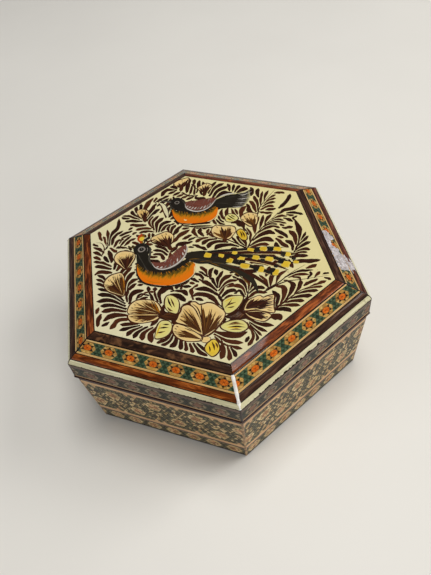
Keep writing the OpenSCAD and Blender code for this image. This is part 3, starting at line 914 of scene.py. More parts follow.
def bead(bd, k, prof, d0, lift, mat, row, rows=6, n=5, gap=0.17, deep=-0.5, taper=True, seed=1):
    """A rounded ridge down the mitre between side k and the next, along section points (a, z)."""
    rr = random.Random(seed * 100 + k)
    pts = []
    for i in range(len(prof) - 1):
        (a0, z0), (a1, z1) = prof[i], prof[i + 1]
        m = max(1, int(math.hypot(a1 - a0, z1 - z0) / 0.55))
        for j in range(m):
            pts.append((a0 + (a1 - a0) * j / m, z0 + (z1 - z0) * j / m, i))
    pts.append((prof[-1][0], prof[-1][1], len(prof) - 2))
    (n1, t1), (n2, t2) = side_frame(k), side_frame((k + 1) % 6)
    seg = []
    for i in range(len(prof) - 1):
        dx, dz = prof[i + 1][0] - prof[i][0], prof[i + 1][1] - prof[i][1]
        d = math.hypot(dx, dz)
        seg.append((-dz / d, dx / d))
    rowsv, acc = [], [0.0]
    for i, (a, z, j) in enumerate(pts):
        na, nz = seg[j]
        if i and pts[i - 1][2] != j:
            q = seg[pts[i - 1][2]]
            na, nz = (na + q[0]) / 2, (nz + q[1]) / 2
        if i:
            acc.append(acc[-1] + math.hypot(a - pts[i - 1][0], z - pts[i - 1][1]))
        N1, N2 = n1 * na + Vector((0, 0, nz)), n2 * na + Vector((0, 0, nz))
        half = a * T30
        up = Vector((0, 0, z))
        f = min(1.0, 0.35 + i * 0.3, 0.35 + (len(pts) - 1 - i) * 0.3) if taper else 1.0
        dd = d0 * (0.7 + 0.3 * f) * rr.uniform(0.93, 1.07)
        E1, E2 = n1 * a + t1 * (half - dd) + up, n2 * a - t2 * (half - dd) + up
        C = n1 * a + t1 * half + up + (N1 + N2).normalized() * lift * f * rr.uniform(0.9, 1.1)
        line = []
        for u in range(2 * n + 1):
            t = u / (2 * n)
            line.append(E1 * (1 - t) ** 2 + C * 2 * t * (1 - t) + E2 * t * t)
        foot = [E2 - N2 * 0.05, n2 * a - t2 * (half - gap) + up - N2 * abs(deep), n1 * a + t1 * (half - gap) + up - N1 * abs(deep),
                E1 - N1 * 0.05]
        rowsv.append([bd.vert(tuple(p)) for p in line + foot])
    W = 2 * n + 1
    L = acc[-1]
    rt = 1.0 / rows
    for i in range(len(rowsv) - 1):
        p, q = rowsv[i], rowsv[i + 1]
        for j in range(W + 4):
            j2 = (j + 1) % (W + 4)
            idx = [p[j], q[j], q[j2], p[j2]]
            g = [(acc[i] * MM, j * .00008), (acc[i + 1] * MM, j * .00008), (acc[i + 1] * MM, (j + 1) * .00008), (acc[i] * MM, (j + 1) * .00008)]
            if j < W - 1:
                v0, v1 = row * rt + rt * (0.04 + 0.7 * j / (W - 1)), row * rt + rt * (0.04 + 0.7 * (j + 1) / (W - 1))
            else:
                v0, v1 = row * rt + rt * (0.78 + 0.036 * (j - W + 1)), row * rt + rt * (0.80 + 0.036 * (j - W + 1))
            u0, u1 = 0.01 + 0.97 * acc[i] / L, 0.01 + 0.97 * acc[i + 1] / L
            bd.face(idx, mat, g, [(u0, v0), (u1, v0), (u1, v1), (u0, v1)], rr.random())
    for p, flip, u in ((rowsv[0], False, 0.004), (rowsv[-1], True, 0.99)):
        idx = p if not flip else p[::-1]
        bd.face(idx, mat, [(.0001 * j, .0001 * (j % 3)) for j in range(len(idx))],
                [(u + 0.003 * (0.5 + 0.5 * math.cos(6.28 * j / len(idx))), row * rt + rt * (0.3 + 0.1 * math.sin(6.28 * j / len(idx)))) for j in range(len(idx))])


bd = Build("frame_mitre_beads")
for k in range(6):
    if k == 0:
        # the front mitre ridge carries the near-white painted highlight colour
        bead(bd, k, list(zip(A, Z))[1:], 0.66, 0.30, "bead_painted_highlight", k, seed=2)
    else:
        bead(bd, k, list(zip(A, Z)), 0.36, 0.17, "bead", k, seed=2)
bd.make("lid", SLOT_F, smooth=50)
bd = Build("lid_corner_beads")
for k in range(6):
    bead(bd, k, [(A[4], 39.36), (A[4], 35.8), (A[4], 32.24)], 0.46, 0.20, "bead", k, seed=3, taper=False)
bd.make("lid", "khatam_lid", smooth=50)
bd = Build("base_corner_beads")
for k in range(6):
    bead(bd, k, [(OUT(30.2), 30.2), (OUT(15), 15.0), (OUT(0.34), 0.34)], 0.50, 0.20, "bead_pale", k, seed=4, taper=False)
bd.make("base", "khatam_base", smooth=50)


def ring(bd, sec, mat, cols=40, wob=0.0, seed=1):
    """A frame round all six sides with the section sec: (a, z) points, out and up, then in, then down."""
    rr = random.Random(seed)
    cum = [0.0]
    for p, q in zip(sec, sec[1:] + sec[:1]):
        cum.append(cum[-1] + math.hypot(q[0] - p[0], q[1] - p[1]))
    col = []
    for k in range(6):
        nn, tt = side_frame(k)
        for j in range(cols):
            f = -1 + 2 * j / cols
            w = rr.uniform(-1, 1) * wob
            col.append((k, j, [bd.vert(tuple(nn * (a + w * (j > 0)) + tt * (f * a * T30) + Vector((0, 0, z + w * 0.5 * (j > 0)))))
                               for a, z in sec]))
    M_ = len(sec)
    for i, (k, j, c0) in enumerate(col):
        c1 = col[(i + 1) % len(col)][2]
        a = sec[0][0]
        s0, s1 = (-1 + 2 * j / cols) * a * T30, (-1 + 2 * (j + 1) / cols) * a * T30
        for m in range(M_):
            m2 = (m + 1) % M_
            idx = [c0[m], c1[m], c1[m2], c0[m2]]
            g = [((s0 + 70 * k) * MM, cum[m] * MM), ((s1 + 70 * k) * MM, cum[m] * MM), ((s1 + 70 * k) * MM, cum[m + 1] * MM),
                 ((s0 + 70 * k) * MM, cum[m + 1] * MM)]
            u0, u1 = 0.01 + 0.98 * j / cols, 0.01 + 0.98 * (j + 1) / cols
            y0, y1 = (k + 0.02 + 0.96 * cum[m] / cum[-1]) / 6, (k + 0.02 + 0.96 * cum[m + 1] / cum[-1]) / 6
            bd.face(idx, mat, g, [(u0, y0), (u1, y0), (u1, y1), (u0, y1)], rr.random())


o1 = OUT(31.1)
bd = Build("base_rim")
ring(bd, [(o1 - 0.03, 30.30), (o1 + 0.03, 30.46), (o1 + 0.05, 30.74), (o1 - 0.02, 30.96), (o1 - 0.20, 31.08), (o1 - 0.6, 31.10),
          (o1 - 2.6, 31.10), (o1 - 4.6, 31.09), (o1 - 5.1, 31.05), (o1 - 5.28, 30.9), (o1 - 5.30, 30.31)], "rim", wob=0.008, seed=5)
bd.make("base", "pale_wood", ["base_rim_edging"], smooth=40)
bd = Build("lid_lip")
ring(bd, [(51.80, 31.385), (51.93, 31.46), (51.97, 31.66), (51.97, 31.94), (51.90, 32.13), (51.74, 32.20), (49.0, 32.20), (46.5, 32.20),
          (46.24, 32.10), (46.22, 31.6), (46.34, 31.40), (46.7, 31.38), (49.0, 31.38), (51.3, 31.38)], "lip", wob=0.008, seed=6)
bd.make("lid", "dark_wood", ["lid_lip_edging"], smooth=40)


def hexpad(bd, a, z_face, z_back, mat, height, n=72, up=1):
    """A hexagonal sheet of cloth with a worked face, on a flat back."""
    R_ = a / math.cos(math.radians(30))
    cor = [Vector((R_ * math.cos(math.radians(60 * i)), R_ * math.sin(math.radians(60 * i)), 0)) for i in range(6)]
    ids = {}

    def vid(i, j, k):
        """ring i, sector j, step k"""
        if i == 0:
            key = (0, 0)
        else:
            key = (i, (j * i + k) % (6 * i))
        if key not in ids:
            if i == 0:
                p = Vector((0, 0, 0))
            else:
                m = key[1]
                j_, k_ = divmod(m, i)
                p = (cor[j_] * (i - k_) + cor[(j_ + 1) % 6] * k_) / n
            d = a - max(abs(p.x * math.cos(math.radians(30 + 60 * q)) + p.y * math.sin(math.radians(30 + 60 * q))) for q in range(3))
            ids[key] = bd.vert((p.x, p.y, z_face + height(p.x, p.y, d)))
        return ids[key]

    def fc(t):
        if up < 0:
            t = t[::-1]
        bd.face(t, mat, [(bd.v[q][0] * MM, bd.v[q][1] * MM) for q in t],
                [(0.5 + 0.44 * bd.v[q][0] / R_, 0.46 + 0.44 * bd.v[q][1] / R_) for q in t])
    for i in range(n):
        for j in range(6):
            for k in range(i + 1):
                fc([vid(i, j, k), vid(i + 1, j, k), vid(i + 1, j, k + 1)])
                if k < i:
                    fc([vid(i, j, k), vid(i + 1, j, k + 1), vid(i, j, k + 1)])
    rim = [ids[(n, m)] for m in range(6 * n)]
    back = [bd.vert((bd.v[q][0], bd.v[q][1], z_back)) for q in rim]
    for m in range(6 * n):
        m2 = (m + 1) % (6 * n)
        t = [rim[m], back[m], back[m2], rim[m2]]
        if up < 0:
            t = t[::-1]
        u0, u1 = 0.01 + 0.98 * m / (6 * n), 0.01 + 0.98 * (m + 1) / (6 * n)
        bd.face(t, mat, [(m * .001, 0), (m * .001, .0008), (m * .001 + .001, .0008), (m * .001 + .001, 0)],
                [(u0, 0.94), (u0, 0.95), (u1, 0.95), (u1, 0.94)])
    t = back[::-1] if up > 0 else back
    bd.face(t, mat, [(bd.v[q][0] * MM, bd.v[q][1] * MM) for q in t],
            [(0.03 + 0.03 * bd.v[q][0] / R_, 0.03 + 0.03 * bd.v[q][1] / R_) for q in t])


def slab(bd, pos, nu, nv, W, H, height, depth, mat, slot_, slots):
    """A panel whose face is the grid pos(u, v, h), with a flat back: pos takes u, v in 0..1 and h in mm."""
    c = Vector(pos(.5, .5, 0))
    flip = (Vector(pos(.6, .5, 0)) - c).cross(Vector(pos(.5, .6, 0)) - c).dot(Vector(pos(.5, .5, .1)) - c) < 0
    g = [[bd.vert(tuple(pos(i / nu, j / nv, height(i / nu, j / nv)))) for j in range(nv + 1)] for i in range(nu + 1)]
    w = 1.0 / slots

    def fc(idx, grain, bake):
        if flip:
            idx, grain, bake = idx[::-1], grain[::-1], bake[::-1]
        bd.face(idx, mat, grain, [(slot_ * w + (0.02 + 0.96 * x) * w, 0.01 + 0.98 * y) for x, y in bake])
    for i in range(nu):
        for j in range(nv):
            q = [(i, j), (i + 1, j), (i + 1, j + 1), (i, j + 1)]
            fc([g[x][y] for x, y in q], [(x / nu * W * MM + slot_ * .1, y / nv * H * MM) for x, y in q],
               [(x / nu, 0.9 * y / nv) for x, y in q])
    edge = [(i, 0) for i in range(nu)] + [(nu, j) for j in range(nv)] + [(i, nv) for i in range(nu, 0, -1)] + [(0, j) for j in range(nv, 0, -1)]
    back = [bd.vert(tuple(pos(i / nu, j / nv, -depth))) for i, j in edge]
    m = len(edge)
    for e in range(m):
        e2 = (e + 1) % m
        a_, b_ = edge[e], edge[e2]
        fc([g[a_[0]][a_[1]], back[e], back[e2], g[b_[0]][b_[1]]], [(e * .0005, 0), (e * .0005, .0007), (e * .0005 + .0005, .0007), (e * .0005 + .0005, 0)],
           [(e / m, .92), (e / m, .94), ((e + 1) / m, .94), ((e + 1) / m, .92)])
    fc(back[::-1], [(edge[e][0] / nu * W * MM, edge[e][1] / nv * H * MM) for e in range(m)][::-1],
       [(edge[e][0] / nu, .96 + .03 * edge[e][1] / nv) for e in range(m)][::-1])


def ripples(seed, n, lo, hi, amp):
    """A smooth random surface in millimetres."""
    rr = np.random.RandomState(seed)
    fx, fy, ph = rr.uniform(-hi, hi, n), rr.uniform(-hi, hi, n), rr.uniform(0, 6.28, n)
    fx, fy = np.where(np.abs(fx) < lo, lo, fx), np.where(np.abs(fy) < lo, lo, fy)

    def f(x, y):
        return float(np.sin(fx * x + fy * y + ph).sum()) * amp / math.sqrt(n)
    return f


r1, r2, r3, r4 = ripples(11, 10, 0.1, 0.6, 0.045), ripples(12, 14, 1.2, 4.2, 0.014), ripples(13, 9, 0.1, 0.5, 0.05), ripples(14, 8, 0.5, 1.6, 0.02)
bd = Build("floor_velvet")
hexpad(bd, OUT(4.0) - 4.6 - 0.06, 4.78, 4.0, "velvet",
       lambda x, y, d: -0.38 * math.exp(-d / 0.5) + (r1(x, y) + r2(x, y)) * min(1, d / 1.5) - 0.03, n=84)
bd.make("base", "velvet", ["base_floor_lining"], smooth=60)

bd = Build("lid_top_velvet")


def lid_pad(x, y, d):
    """Facing down: padded a little, with a pressed line 5 mm in from the edge."""
    return 0.34 * math.exp(-d / 0.6) + 0.16 * math.exp(-((d - 5.0) / 0.35) ** 2) - (r3(x, y) + r2(y, x)) * min(1, d / 1.5) + 0.02


hexpad(bd, 46.86, 38.94, 39.68, "velvet", lid_pad, n=84, up=-1)
bd.make("lid", "velvet", ["lid_top_lining"], smooth=60)

bd = Build("base_wall_velvet")
for k in range(6):
    nn, tt = side_frame(k)

    def pos(u, v, h, nn=nn, tt=tt):
        z = 4.84 + (30.27 - 4.84) * v
        a = OUT(z) - 4.6 - 0.64 - h
        ahalf = a * T30 - 0.03
        return nn * a + tt * ((2 * u - 1) * ahalf) + Vector((0, 0, z))

    def hh(u, v, k=k):
        x, y = (u - .5) * 52, (v - .5) * 25
        e = min((1 - v) * 25.4, 3.0)
        c = min(u, 1 - u) * 52
        return 0.04 - 0.34 * math.exp(-e / 0.35) - 0.10 * math.exp(-c / 0.6) + (r4(x + 37 * k, y) + r2(x, y + 29 * k)) * 0.8 * min(1, e)
    slab(bd, pos, 104, 50, 52, 25.4, hh, 0.60, "velvet", k, 6)
bd.make("base", "velvet", ["base_wall_lining"], smooth=60)

bd = Build("lid_wall_velvet")
for k in range(6):
    nn, tt = side_frame(k)

    def pos(u, v, h, nn=nn, tt=tt):
        z = 32.24 + (38.86 - 32.24) * v
        a = 46.28 - h
        return nn * a + tt * ((2 * u - 1) * (a * T30 - 0.03)) + Vector((0, 0, z))

    def hh(u, v, k=k):
        x, y = (u - .5) * 53, (v - .5) * 6.6
        e = v * 6.6
        return 0.03 - 0.28 * math.exp(-e / 0.35) - 0.10 * math.exp(-min(u, 1 - u) * 53 / 0.6) + (r4(x + 31 * k, y) + r2(x, y + 23 * k)) * 0.8 * min(1, e)
    slab(bd, pos, 104, 14, 53, 6.6, hh, 0.58, "velvet", k, 6)
bd.make("lid", "velvet", ["lid_wall_lining"], smooth=60)

bd = Build("underside_felt")
hexpad(bd, 46.30, 0.03, 0.5, "felt", lambda x, y, d: 0.16 * math.exp(-d / 0.3) + 0.02 * (1 + math.sin(3.1 * x + 1.7 * y + 2 * r1(x, y) * 20)) * 0.5
       + 0.5 * abs(r2(x * 1.3, y * 1.3)), n=84, up=-1)
bd.make("base", "felt", ["base_underside_felt"], smooth=60, clamp=False)

# the flaked patch on the back right frame, near its front corner
bd = Build("frame_worn_patch")
rr = random.Random(31)
on_band, on_stripe = Strip(2, (A[1], Z[1]), (A[2], Z[2])), Strip(2, (A[2], Z[2]), (A[3], Z[3]))
FLAKES = [(on_band, *q) for q in ((0.2, 1.6, 1.3, 1.5), (-1.8, 1.9, 1.8, 1.9), (-4.2, 1.0, 1.9, 1.1), (-6.4, 1.0, 1.8, 1.15), (-1.6, 3.4, 1.2, 0.8),
                                  (-8.6, 1.9, 1.8, 1.9), (-10.6, 2.1, 1.9, 2.1), (-12.8, 2.4, 1.9, 2.3), (-15.2, 2.6, 2.0, 2.5), (-17.2, 2.4, 1.5, 2.2),
                                  (-11.6, 4.0, 1.4, 0.9), (-13.8, 4.2, 1.9, 0.85), (-16.4, 4.1, 1.9, 0.95), (-8.2, 3.6, 0.8, 0.6))]
FLAKES += [(on_stripe, *q) for q in ((-11.6, 0.9, 1.5, 0.9), (-13.6, 1.2, 1.9, 1.25), (-15.9, 1.3, 2.0, 1.35), (-17.9, 1.2, 1.3, 1.1))]
for i, (st, s_, v_, rs, rv) in enumerate(FLAKES):
    N = 34
    out_ = []
    ph = [rr.uniform(0, 6.28) for _ in range(4)]
    for j in range(N):
        q = 2 * math.pi * j / N
        f = 1.08 + 0.11 * math.sin(3 * q + ph[0]) + 0.10 * math.sin(5 * q + ph[1]) + 0.08 * math.sin(9 * q + ph[2]) + rr.uniform(-.06, .06)
        out_.append((s_ + rs * f * math.cos(q), min(st.L - 0.03, max(0.03, v_ + rv * f * math.sin(q)))))
    h = 0.024 + 0.0032 * ((i * 5) % 14) + 0.001 * (i // 14)
    outer = [bd.vert(st.pt(x, v, -0.03)) for x, v in out_]
    inner = [bd.vert(st.pt(s_ + (x - s_) * .94, v_ + (v - v_) * .94, h)) for x, v in out_]
    mid_ = bd.vert(st.pt(s_, v_, h))
    gx = i % 5
    gy = i // 5
    bk_ = lambda x, v: ((gx + .5 + .44 * (x - s_) / (rs * 1.5)) / 5, (gy + .5 + .4 * (v - v_) / (rv * 1.5)) / 4 * .92)
    for j in range(N):
        j2 = (j + 1) % N
        (x1, v1), (x2, v2) = out_[j], out_[j2]
        i1, i2 = (s_ + (x1 - s_) * .94, v_ + (v1 - v_) * .94), (s_ + (x2 - s_) * .94, v_ + (v2 - v_) * .94)
        bd.face([outer[j], inner[j], inner[j2], outer[j2]], "worn", [(x1 * MM, v1 * MM), (i1[0] * MM, i1[1] * MM), (i2[0] * MM, i2[1] * MM), (x2 * MM, v2 * MM)],
                [bk_(x1, v1), bk_(*i1), bk_(*i2), bk_(x2, v2)])
        bd.face([inner[j], mid_, inner[j2]], "worn", [(i1[0] * MM, i1[1] * MM), (s_ * MM, v_ * MM), (i2[0] * MM, i2[1] * MM)],
                [bk_(*i1), bk_(s_, v_), bk_(*i2)])
    bd.face(outer, "worn", [(x * MM, v * MM) for x, v in out_], [(0.03 + 0.052 * i + .015 * (x - s_) / rs, 0.96 + 0.012 * (v - v_) / rv) for x, v in out_])
bd.make("lid", SLOT_F, smooth=50)


def give(name, mat, bevel=0.0):
    """A finish for a part that keeps the model's own shape."""
    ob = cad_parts[name]
    ob.data.materials.clear()
    ob.data.materials.append(M[mat])
    if bevel:
        mod = ob.modifiers.new("eased", "BEVEL")
        mod.width = bevel * MM
        mod.segments = 2
        mod.limit_method = "ANGLE"
        mod.angle_limit = math.radians(40)


for k, side in enumerate(SIDES):
    give("base_wall_" + side, "core_wood")
    give("lid_wall_" + side, "core_wood")
    give("lid_moulding_" + side, "core_wood")
give("base_bottom_board", "board_wood")
give("lid_top_board", "board_wood")
for name in ("hinge_left_base_leaf", "hinge_right_base_leaf", "hinge_left_lid_leaf", "hinge_right_lid_leaf"):
    give(name, "brass", 0.05)
for name in ("hinge_pins", "base_hinge_nails", "lid_hinge_nails"):
    give(name, "brass", 0.04)


# ------------------------------------------------------------------ painted panel

def paint_mat(name, tones, streak=0.25, edge=None, scale=1.0):
    """Gouache under lacquer: tone per stroke, brush streaks, thin places."""
    m = Mat(name, **PLAC)
    stops = [(i / max(1, len(tones) - 1), srgb(*c)) for i, c in enumerate(tones)]
    base = m.ramp(m.attr("rnd"), stops)
    g = m.noise(m.uv(260 * scale, 1500 * scale), 1.0, 4, 0.65, 0.7)
    lit = m.mix(1.0, base, (1.5, 1.42, 1.3, 1), "MULTIPLY")
    dim = m.mix(1.0, base, (0.62, 0.56, 0.52, 1), "MULTIPLY")
    c = m.mix(m.fac(g, 0.5, 0.8, 0.0, streak * 2), base, lit)
    c = m.mix(m.fac(g, 0.5, 0.2, 0.0, streak * 2), c, dim)
    if edge is not None:
        c = m.mix(m.fac(m.attr("rad"), 0.55, 1.0, 0.0, 1.0), c, srgb(*edge))
    m.colour(c)
    m.rough(m.fac(g, 0.3, 0.7, 0.35, 0.5))
    m.bump(g, 0.00002, 0.4)
    return m.m


M["p_leaf"] = paint_mat("paint_leaf", [(32, 11, 2), (48, 19, 5), (74, 35, 13), (38, 14, 3), (58, 26, 9)], 0.4)
M["p_hatch"] = paint_mat("paint_hatch", [(62, 34, 8), (90, 52, 14), (50, 28, 8), (112, 70, 22)], 0.3)
M["p_petal"] = paint_mat("paint_petal", [(214, 180, 112), (224, 194, 130), (204, 168, 100)], 0.16, edge=(222, 198, 142))
M["p_petal2"] = paint_mat("paint_petal_dark", [(150, 112, 66), (176, 136, 84)], 0.2, edge=(208, 180, 126))
M["p_yellow"] = paint_mat("paint_yellow", [(206, 168, 36), (218, 184, 54), (196, 156, 26)], 0.16, edge=(210, 184, 76))
M["p_green"] = paint_mat("paint_pale_green", [(206, 194, 104), (214, 204, 126), (200, 184, 84)], 0.14, edge=(206, 198, 134))
M["p_pale"] = paint_mat("paint_pale", [(206, 198, 158), (214, 206, 168)], 0.14)
M["p_black"] = paint_mat("paint_black", [(20, 17, 12), (30, 25, 17), (40, 34, 22)], 0.25)
M["p_slate"] = paint_mat("paint_slate", [(44, 40, 32), (58, 54, 46), (70, 66, 58)], 0.3)
M["p_olive"] = paint_mat("paint_olive", [(54, 44, 14), (84, 64, 14), (112, 80, 12), (136, 92, 12)], 0.3)
M["p_gold"] = paint_mat("paint_gold", [(168, 104, 10), (188, 112, 8), (150, 94, 12)], 0.3)
M["p_orange"] = paint_mat("paint_orange", [(204, 104, 6), (216, 112, 8), (208, 98, 4)], 0.16)
M["p_maroon"] = paint_mat("paint_maroon", [(84, 44, 34), (112, 62, 50), (66, 34, 26)], 0.34)
M["p_grey"] = paint_mat("paint_grey", [(104, 98, 88), (140, 132, 122), (84, 80, 72)], 0.25)
M["p_white"] = paint_mat("paint_white", [(172, 168, 158), (200, 194, 184)], 0.18)
M["p_red"] = paint_mat("paint_red", [(150, 50, 16), (178, 74, 20)], 0.2)


def belly_mat():
    """From near black under the back, through olive and gold, to orange; 'rad' runs across the body."""
    m = Mat("paint_belly", **PLAC)
    g = m.noise(m.uv(300, 300), 1.0, 4, 0.65, 0.7)
    st = m.noise(m.obj(1500, 420, 1), 1.0, 3, 0.6)
    t = m.math("ADD", m.attr("rad"), m.fac(st, 0.3, 0.7, -0.16, 0.16))
    c = m.ramp(t, [(0.0, srgb(30, 26, 14)), (0.14, srgb(52, 44, 14)), (0.28, srgb(108, 82, 12)), (0.42, srgb(176, 112, 10)),
                   (0.58, srgb(210, 112, 6)), (1.0, srgb(216, 108, 4))])
    c = m.mix(m.fac(g, 0.55, 0.8, 0.0, 0.35), c, m.mix(1.0, c, (1.25, 1.2, 1.1, 1), "MULTIPLY"))
    m.colour(c)
    m.rough(m.fac(g, 0.3, 0.7, 0.35, 0.5))
    m.bump(st, 0.00002, 0.4)
    return m.m


M["p_belly"] = belly_mat()

TOP = 46.0


class Paint(Build):
    """Strokes and shapes of paint on the panel, each a thin closed solid."""

    def __init__(self, name, z):
        super().__init__(name)
        self.z = z
        self.rad = []

    def put(self, x, y, z, rad=1.0):
        self.v.append((x, y, z))
        self.rad.append(rad)
        return len(self.v) - 1

    def uvb(self, idx, under=False):
        if under:
            return [(0.001 + 0.002 * (i % 2), 0.001 + 0.002 * (i // 2 % 2)) for i in range(len(idx))]
        return [((self.v[i][0] + 48) / 96, (self.v[i][1] + 48) / 96) for i in idx]

    def stroke(self, pts, w, mat, prof="leaf", tone=None, n=None, h=0.03, dz=0.0, rng=random.Random(5), room=None):
        c = curve(pts, n or max(6, min(18, int(length(pts) / 0.9) + 4)))
        m = len(c)
        tone = rng.random() if tone is None else tone
        z = TOP + self.z + dz
        u0, v0 = rng.random(), rng.random()
        rows = []
        acc = 0.0
        for i, (x, y) in enumerate(c):
            t = i / (m - 1)
            a, b = c[max(0, i - 1)], c[min(m - 1, i + 1)]
            dx, dy = b[0] - a[0], b[1] - a[1]
            d = math.hypot(dx, dy) or 1.0
            nx, ny = -dy / d, dx / d
            if i:
                acc += math.hypot(x - c[i - 1][0], y - c[i - 1][1])
            ww = w * width(prof, t) * 0.5
            wl, wr = (ww, ww) if room is None else (min(ww, room[0][i]), min(ww, room[1][i]))
            if min(wl, wr) < 0.02:
                rows.append(([self.put(x, y, z)], acc))
                continue
            rows.append(([self.put(x + nx * wl, y + ny * wl, z - 0.012), self.put(x, y, z + min(h, ww * 0.3), 0.0),
                          self.put(x - nx * wr, y - ny * wr, z - 0.012)], acc))
        if len(rows[0][0]) == 3:
            rows.insert(0, ([self.put(c[0][0] - (c[1][0] - c[0][0]) * 0.1, c[0][1] - (c[1][1] - c[0][1]) * 0.1, z)], -0.05))
        if len(rows[-1][0]) == 3:
            rows.append(([self.put(c[-1][0] + (c[-1][0] - c[-2][0]) * 0.25, c[-1][1] + (c[-1][1] - c[-2][1]) * 0.25, z)],
                         acc + 0.1))
        for (a, ua), (b, ub) in zip(rows, rows[1:]):
            ga, gb = u0 + ua * MM, u0 + ub * MM
            if len(a) == 1 and len(b) == 1:
                continue
            if len(a) == 1:
                self.face([a[0], b[1], b[0]], mat, [(ga, v0), (gb, v0), (gb, v0 + .0005)], self.uvb([a[0], b[1], b[0]]), tone)
                self.face([a[0], b[2], b[1]], mat, [(ga, v0), (gb, v0 - .0005), (gb, v0)], self.uvb([a[0], b[2], b[1]]), tone)
                self.face([a[0], b[0], b[2]], mat, [(ga, v0)] * 3, self.uvb([0, 1, 2], True), tone)
            elif len(b) == 1:
                self.face([a[0], a[1], b[0]], mat, [(ga, v0 + .0005), (ga, v0), (gb, v0)], self.uvb([a[0], a[1], b[0]]), tone)
                self.face([a[1], a[2], b[0]], mat, [(ga, v0), (ga, v0 - .0005), (gb, v0)], self.uvb([a[1], a[2], b[0]]), tone)
                self.face([a[2], a[0], b[0]], mat, [(ga, v0)] * 3, self.uvb([0, 1, 2], True), tone)
            else:
                self.face([a[0], a[1], b[1], b[0]], mat, [(ga, v0 + .0005), (ga, v0), (gb, v0), (gb, v0 + .0005)],
                          self.uvb([a[0], a[1], b[1], b[0]]), tone)
                self.face([a[1], a[2], b[2], b[1]], mat, [(ga, v0), (ga, v0 - .0005), (gb, v0 - .0005), (gb, v0)],
                          self.uvb([a[1], a[2], b[2], b[1]]), tone)
                self.face([a[2], a[0], b[0], b[2]], mat, [(ga, v0)] * 4, self.uvb([0, 1, 2, 3], True), tone)

    def shape(self, outline, centre, mat, tone=0.5, h=0.05, dz=0.0, closed=True, n=None):
        """A filled form that is seen whole from its centre, domed a little."""
        o = curve(outline + outline[:1], n or max(24, 6 * len(outline)))[:-1] if closed else outline
        if area(o) < 0:
            o = o[::-1]
        z = TOP + self.z + dz
        cx, cy = centre
        rings = []
        for f, hh, r in ((1.0, -0.012, 1.0), (0.93, h * 0.6, 0.9), (0.7, h * 0.9, 0.66), (0.36, h, 0.33)):
            rings.append([self.put(cx + (x - cx) * f, cy + (y - cy) * f, z + hh, r) for x, y in o])
        mid = self.put(cx, cy, z + h, 0.0)
        N = len(o)
        ang = math.atan2(o[0][1] - cy, o[0][0] - cx)
        gr = lambda i: (self.v[i][0] * MM, self.v[i][1] * MM)
        for a, b in zip(rings, rings[1:]):
            for i in range(N):
                j = (i + 1) % N
                idx = [a[i], a[j], b[j], b[i]]
                self.face(idx, mat, [gr(q) for q in idx], self.uvb(idx), tone)
        for i in range(N):
            j = (i + 1) % N
            idx = [rings[-1][i], rings[-1][j], mid]
            self.face(idx, mat, [gr(q) for q in idx], self.uvb(idx), tone)
        under = rings[0][::-1]
        self.face(under, mat, [gr(q) for q in under], self.uvb(under, True), tone)

    def between(self, upper, lower, mat, rows=7, n=34, h=0.05, dz=0.0, tone=0.5):
        """A filled form between two curves; rad runs from 0 on the first to 1 on the second."""
        A_, B_ = curve(upper, n), curve(lower, n)
        z = TOP + self.z + dz
        g = []
        for i in range(n):
            e = min(1.0, i / 2.5, (n - 1 - i) / 2.5)
            g.append([self.put(A_[i][0] + (B_[i][0] - A_[i][0]) * r / rows, A_[i][1] + (B_[i][1] - A_[i][1]) * r / rows,
                               z - 0.012 + (h + 0.012) * (e * math.sin(math.pi * r / rows)) ** 0.4, r / rows) for r in range(rows + 1)])
        def fc(idx, under=False):
            a_ = area([self.v[q][:2] for q in idx])
            if (a_ < 0) != under:
                idx = idx[::-1]
            self.face(idx, mat, [(self.v[q][0] * MM, self.v[q][1] * MM) for q in idx], self.uvb(idx, under), tone)
        for i in range(n - 1):
            for r in range(rows):
                fc([g[i][r], g[i + 1][r], g[i + 1][r + 1], g[i][r + 1]])
        for i in range(n - 1):
            fc([g[i][0], g[i + 1][0], g[i + 1][-1], g[i][-1]], True)
        for e in (0, n - 1):
            t = g[e][:]
            if e:
                t = t[::-1]
            if area([self.v[q][:2] for q in (g[0][0], g[1][0], g[1][1], g[0][1])]) < 0:
                t = t[::-1]
            self.face(t[::-1], mat, [(self.v[q][0] * MM, self.v[q][1] * MM) for q in t[::-1]], self.uvb(t, True), tone)
        body.poly(A_ + B_[::-1])

    def finish(self):
        ob = self.make("lid", "painted_panel", smooth=60, clamp=False)
        at = ob.data.attributes.new("rad", "FLOAT", "POINT")
        at.data.foreach_set("value", np.array(self.rad, np.float32))
        return ob


def length(pts):
    return sum(math.hypot(b[0] - a[0], b[1] - a[1]) for a, b in zip(pts, pts[1:]))


def curve(pts, n):
    """n points along a smooth curve through pts."""
    if len(pts) == 2:
        return [(pts[0][0] + (pts[1][0] - pts[0][0]) * i / (n - 1), pts[0][1] + (pts[1][1] - pts[0][1]) * i / (n - 1))
                for i in range(n)]
    loop = math.hypot(pts[0][0] - pts[-1][0], pts[0][1] - pts[-1][1]) < 1e-9
    out = []
    k = len(pts) - 1
    for i in range(n):
        t = k * i / (n - 1)
        j = min(k - 1, int(t))
        t -= j
        p1, p2 = pts[j], pts[j + 1]
        p0 = pts[j - 1] if j > 0 else (pts[-2] if loop else (2 * p1[0] - p2[0], 2 * p1[1] - p2[1]))
        p3 = pts[j + 2] if j + 2 <= k else (pts[1] if loop else (2 * p2[0] - p1[0], 2 * p2[1] - p1[1]))
        f = lambda a, b, c, d: 0.5 * (2 * b + (c - a) * t + (2 * a - 5 * b + 4 * c - d) * t * t + (3 * b - a - 3 * c + d) * t ** 3)
        out.append((f(p0[0], p1[0], p2[0], p3[0]), f(p0[1], p1[1], p2[1], p3[1])))
    return out


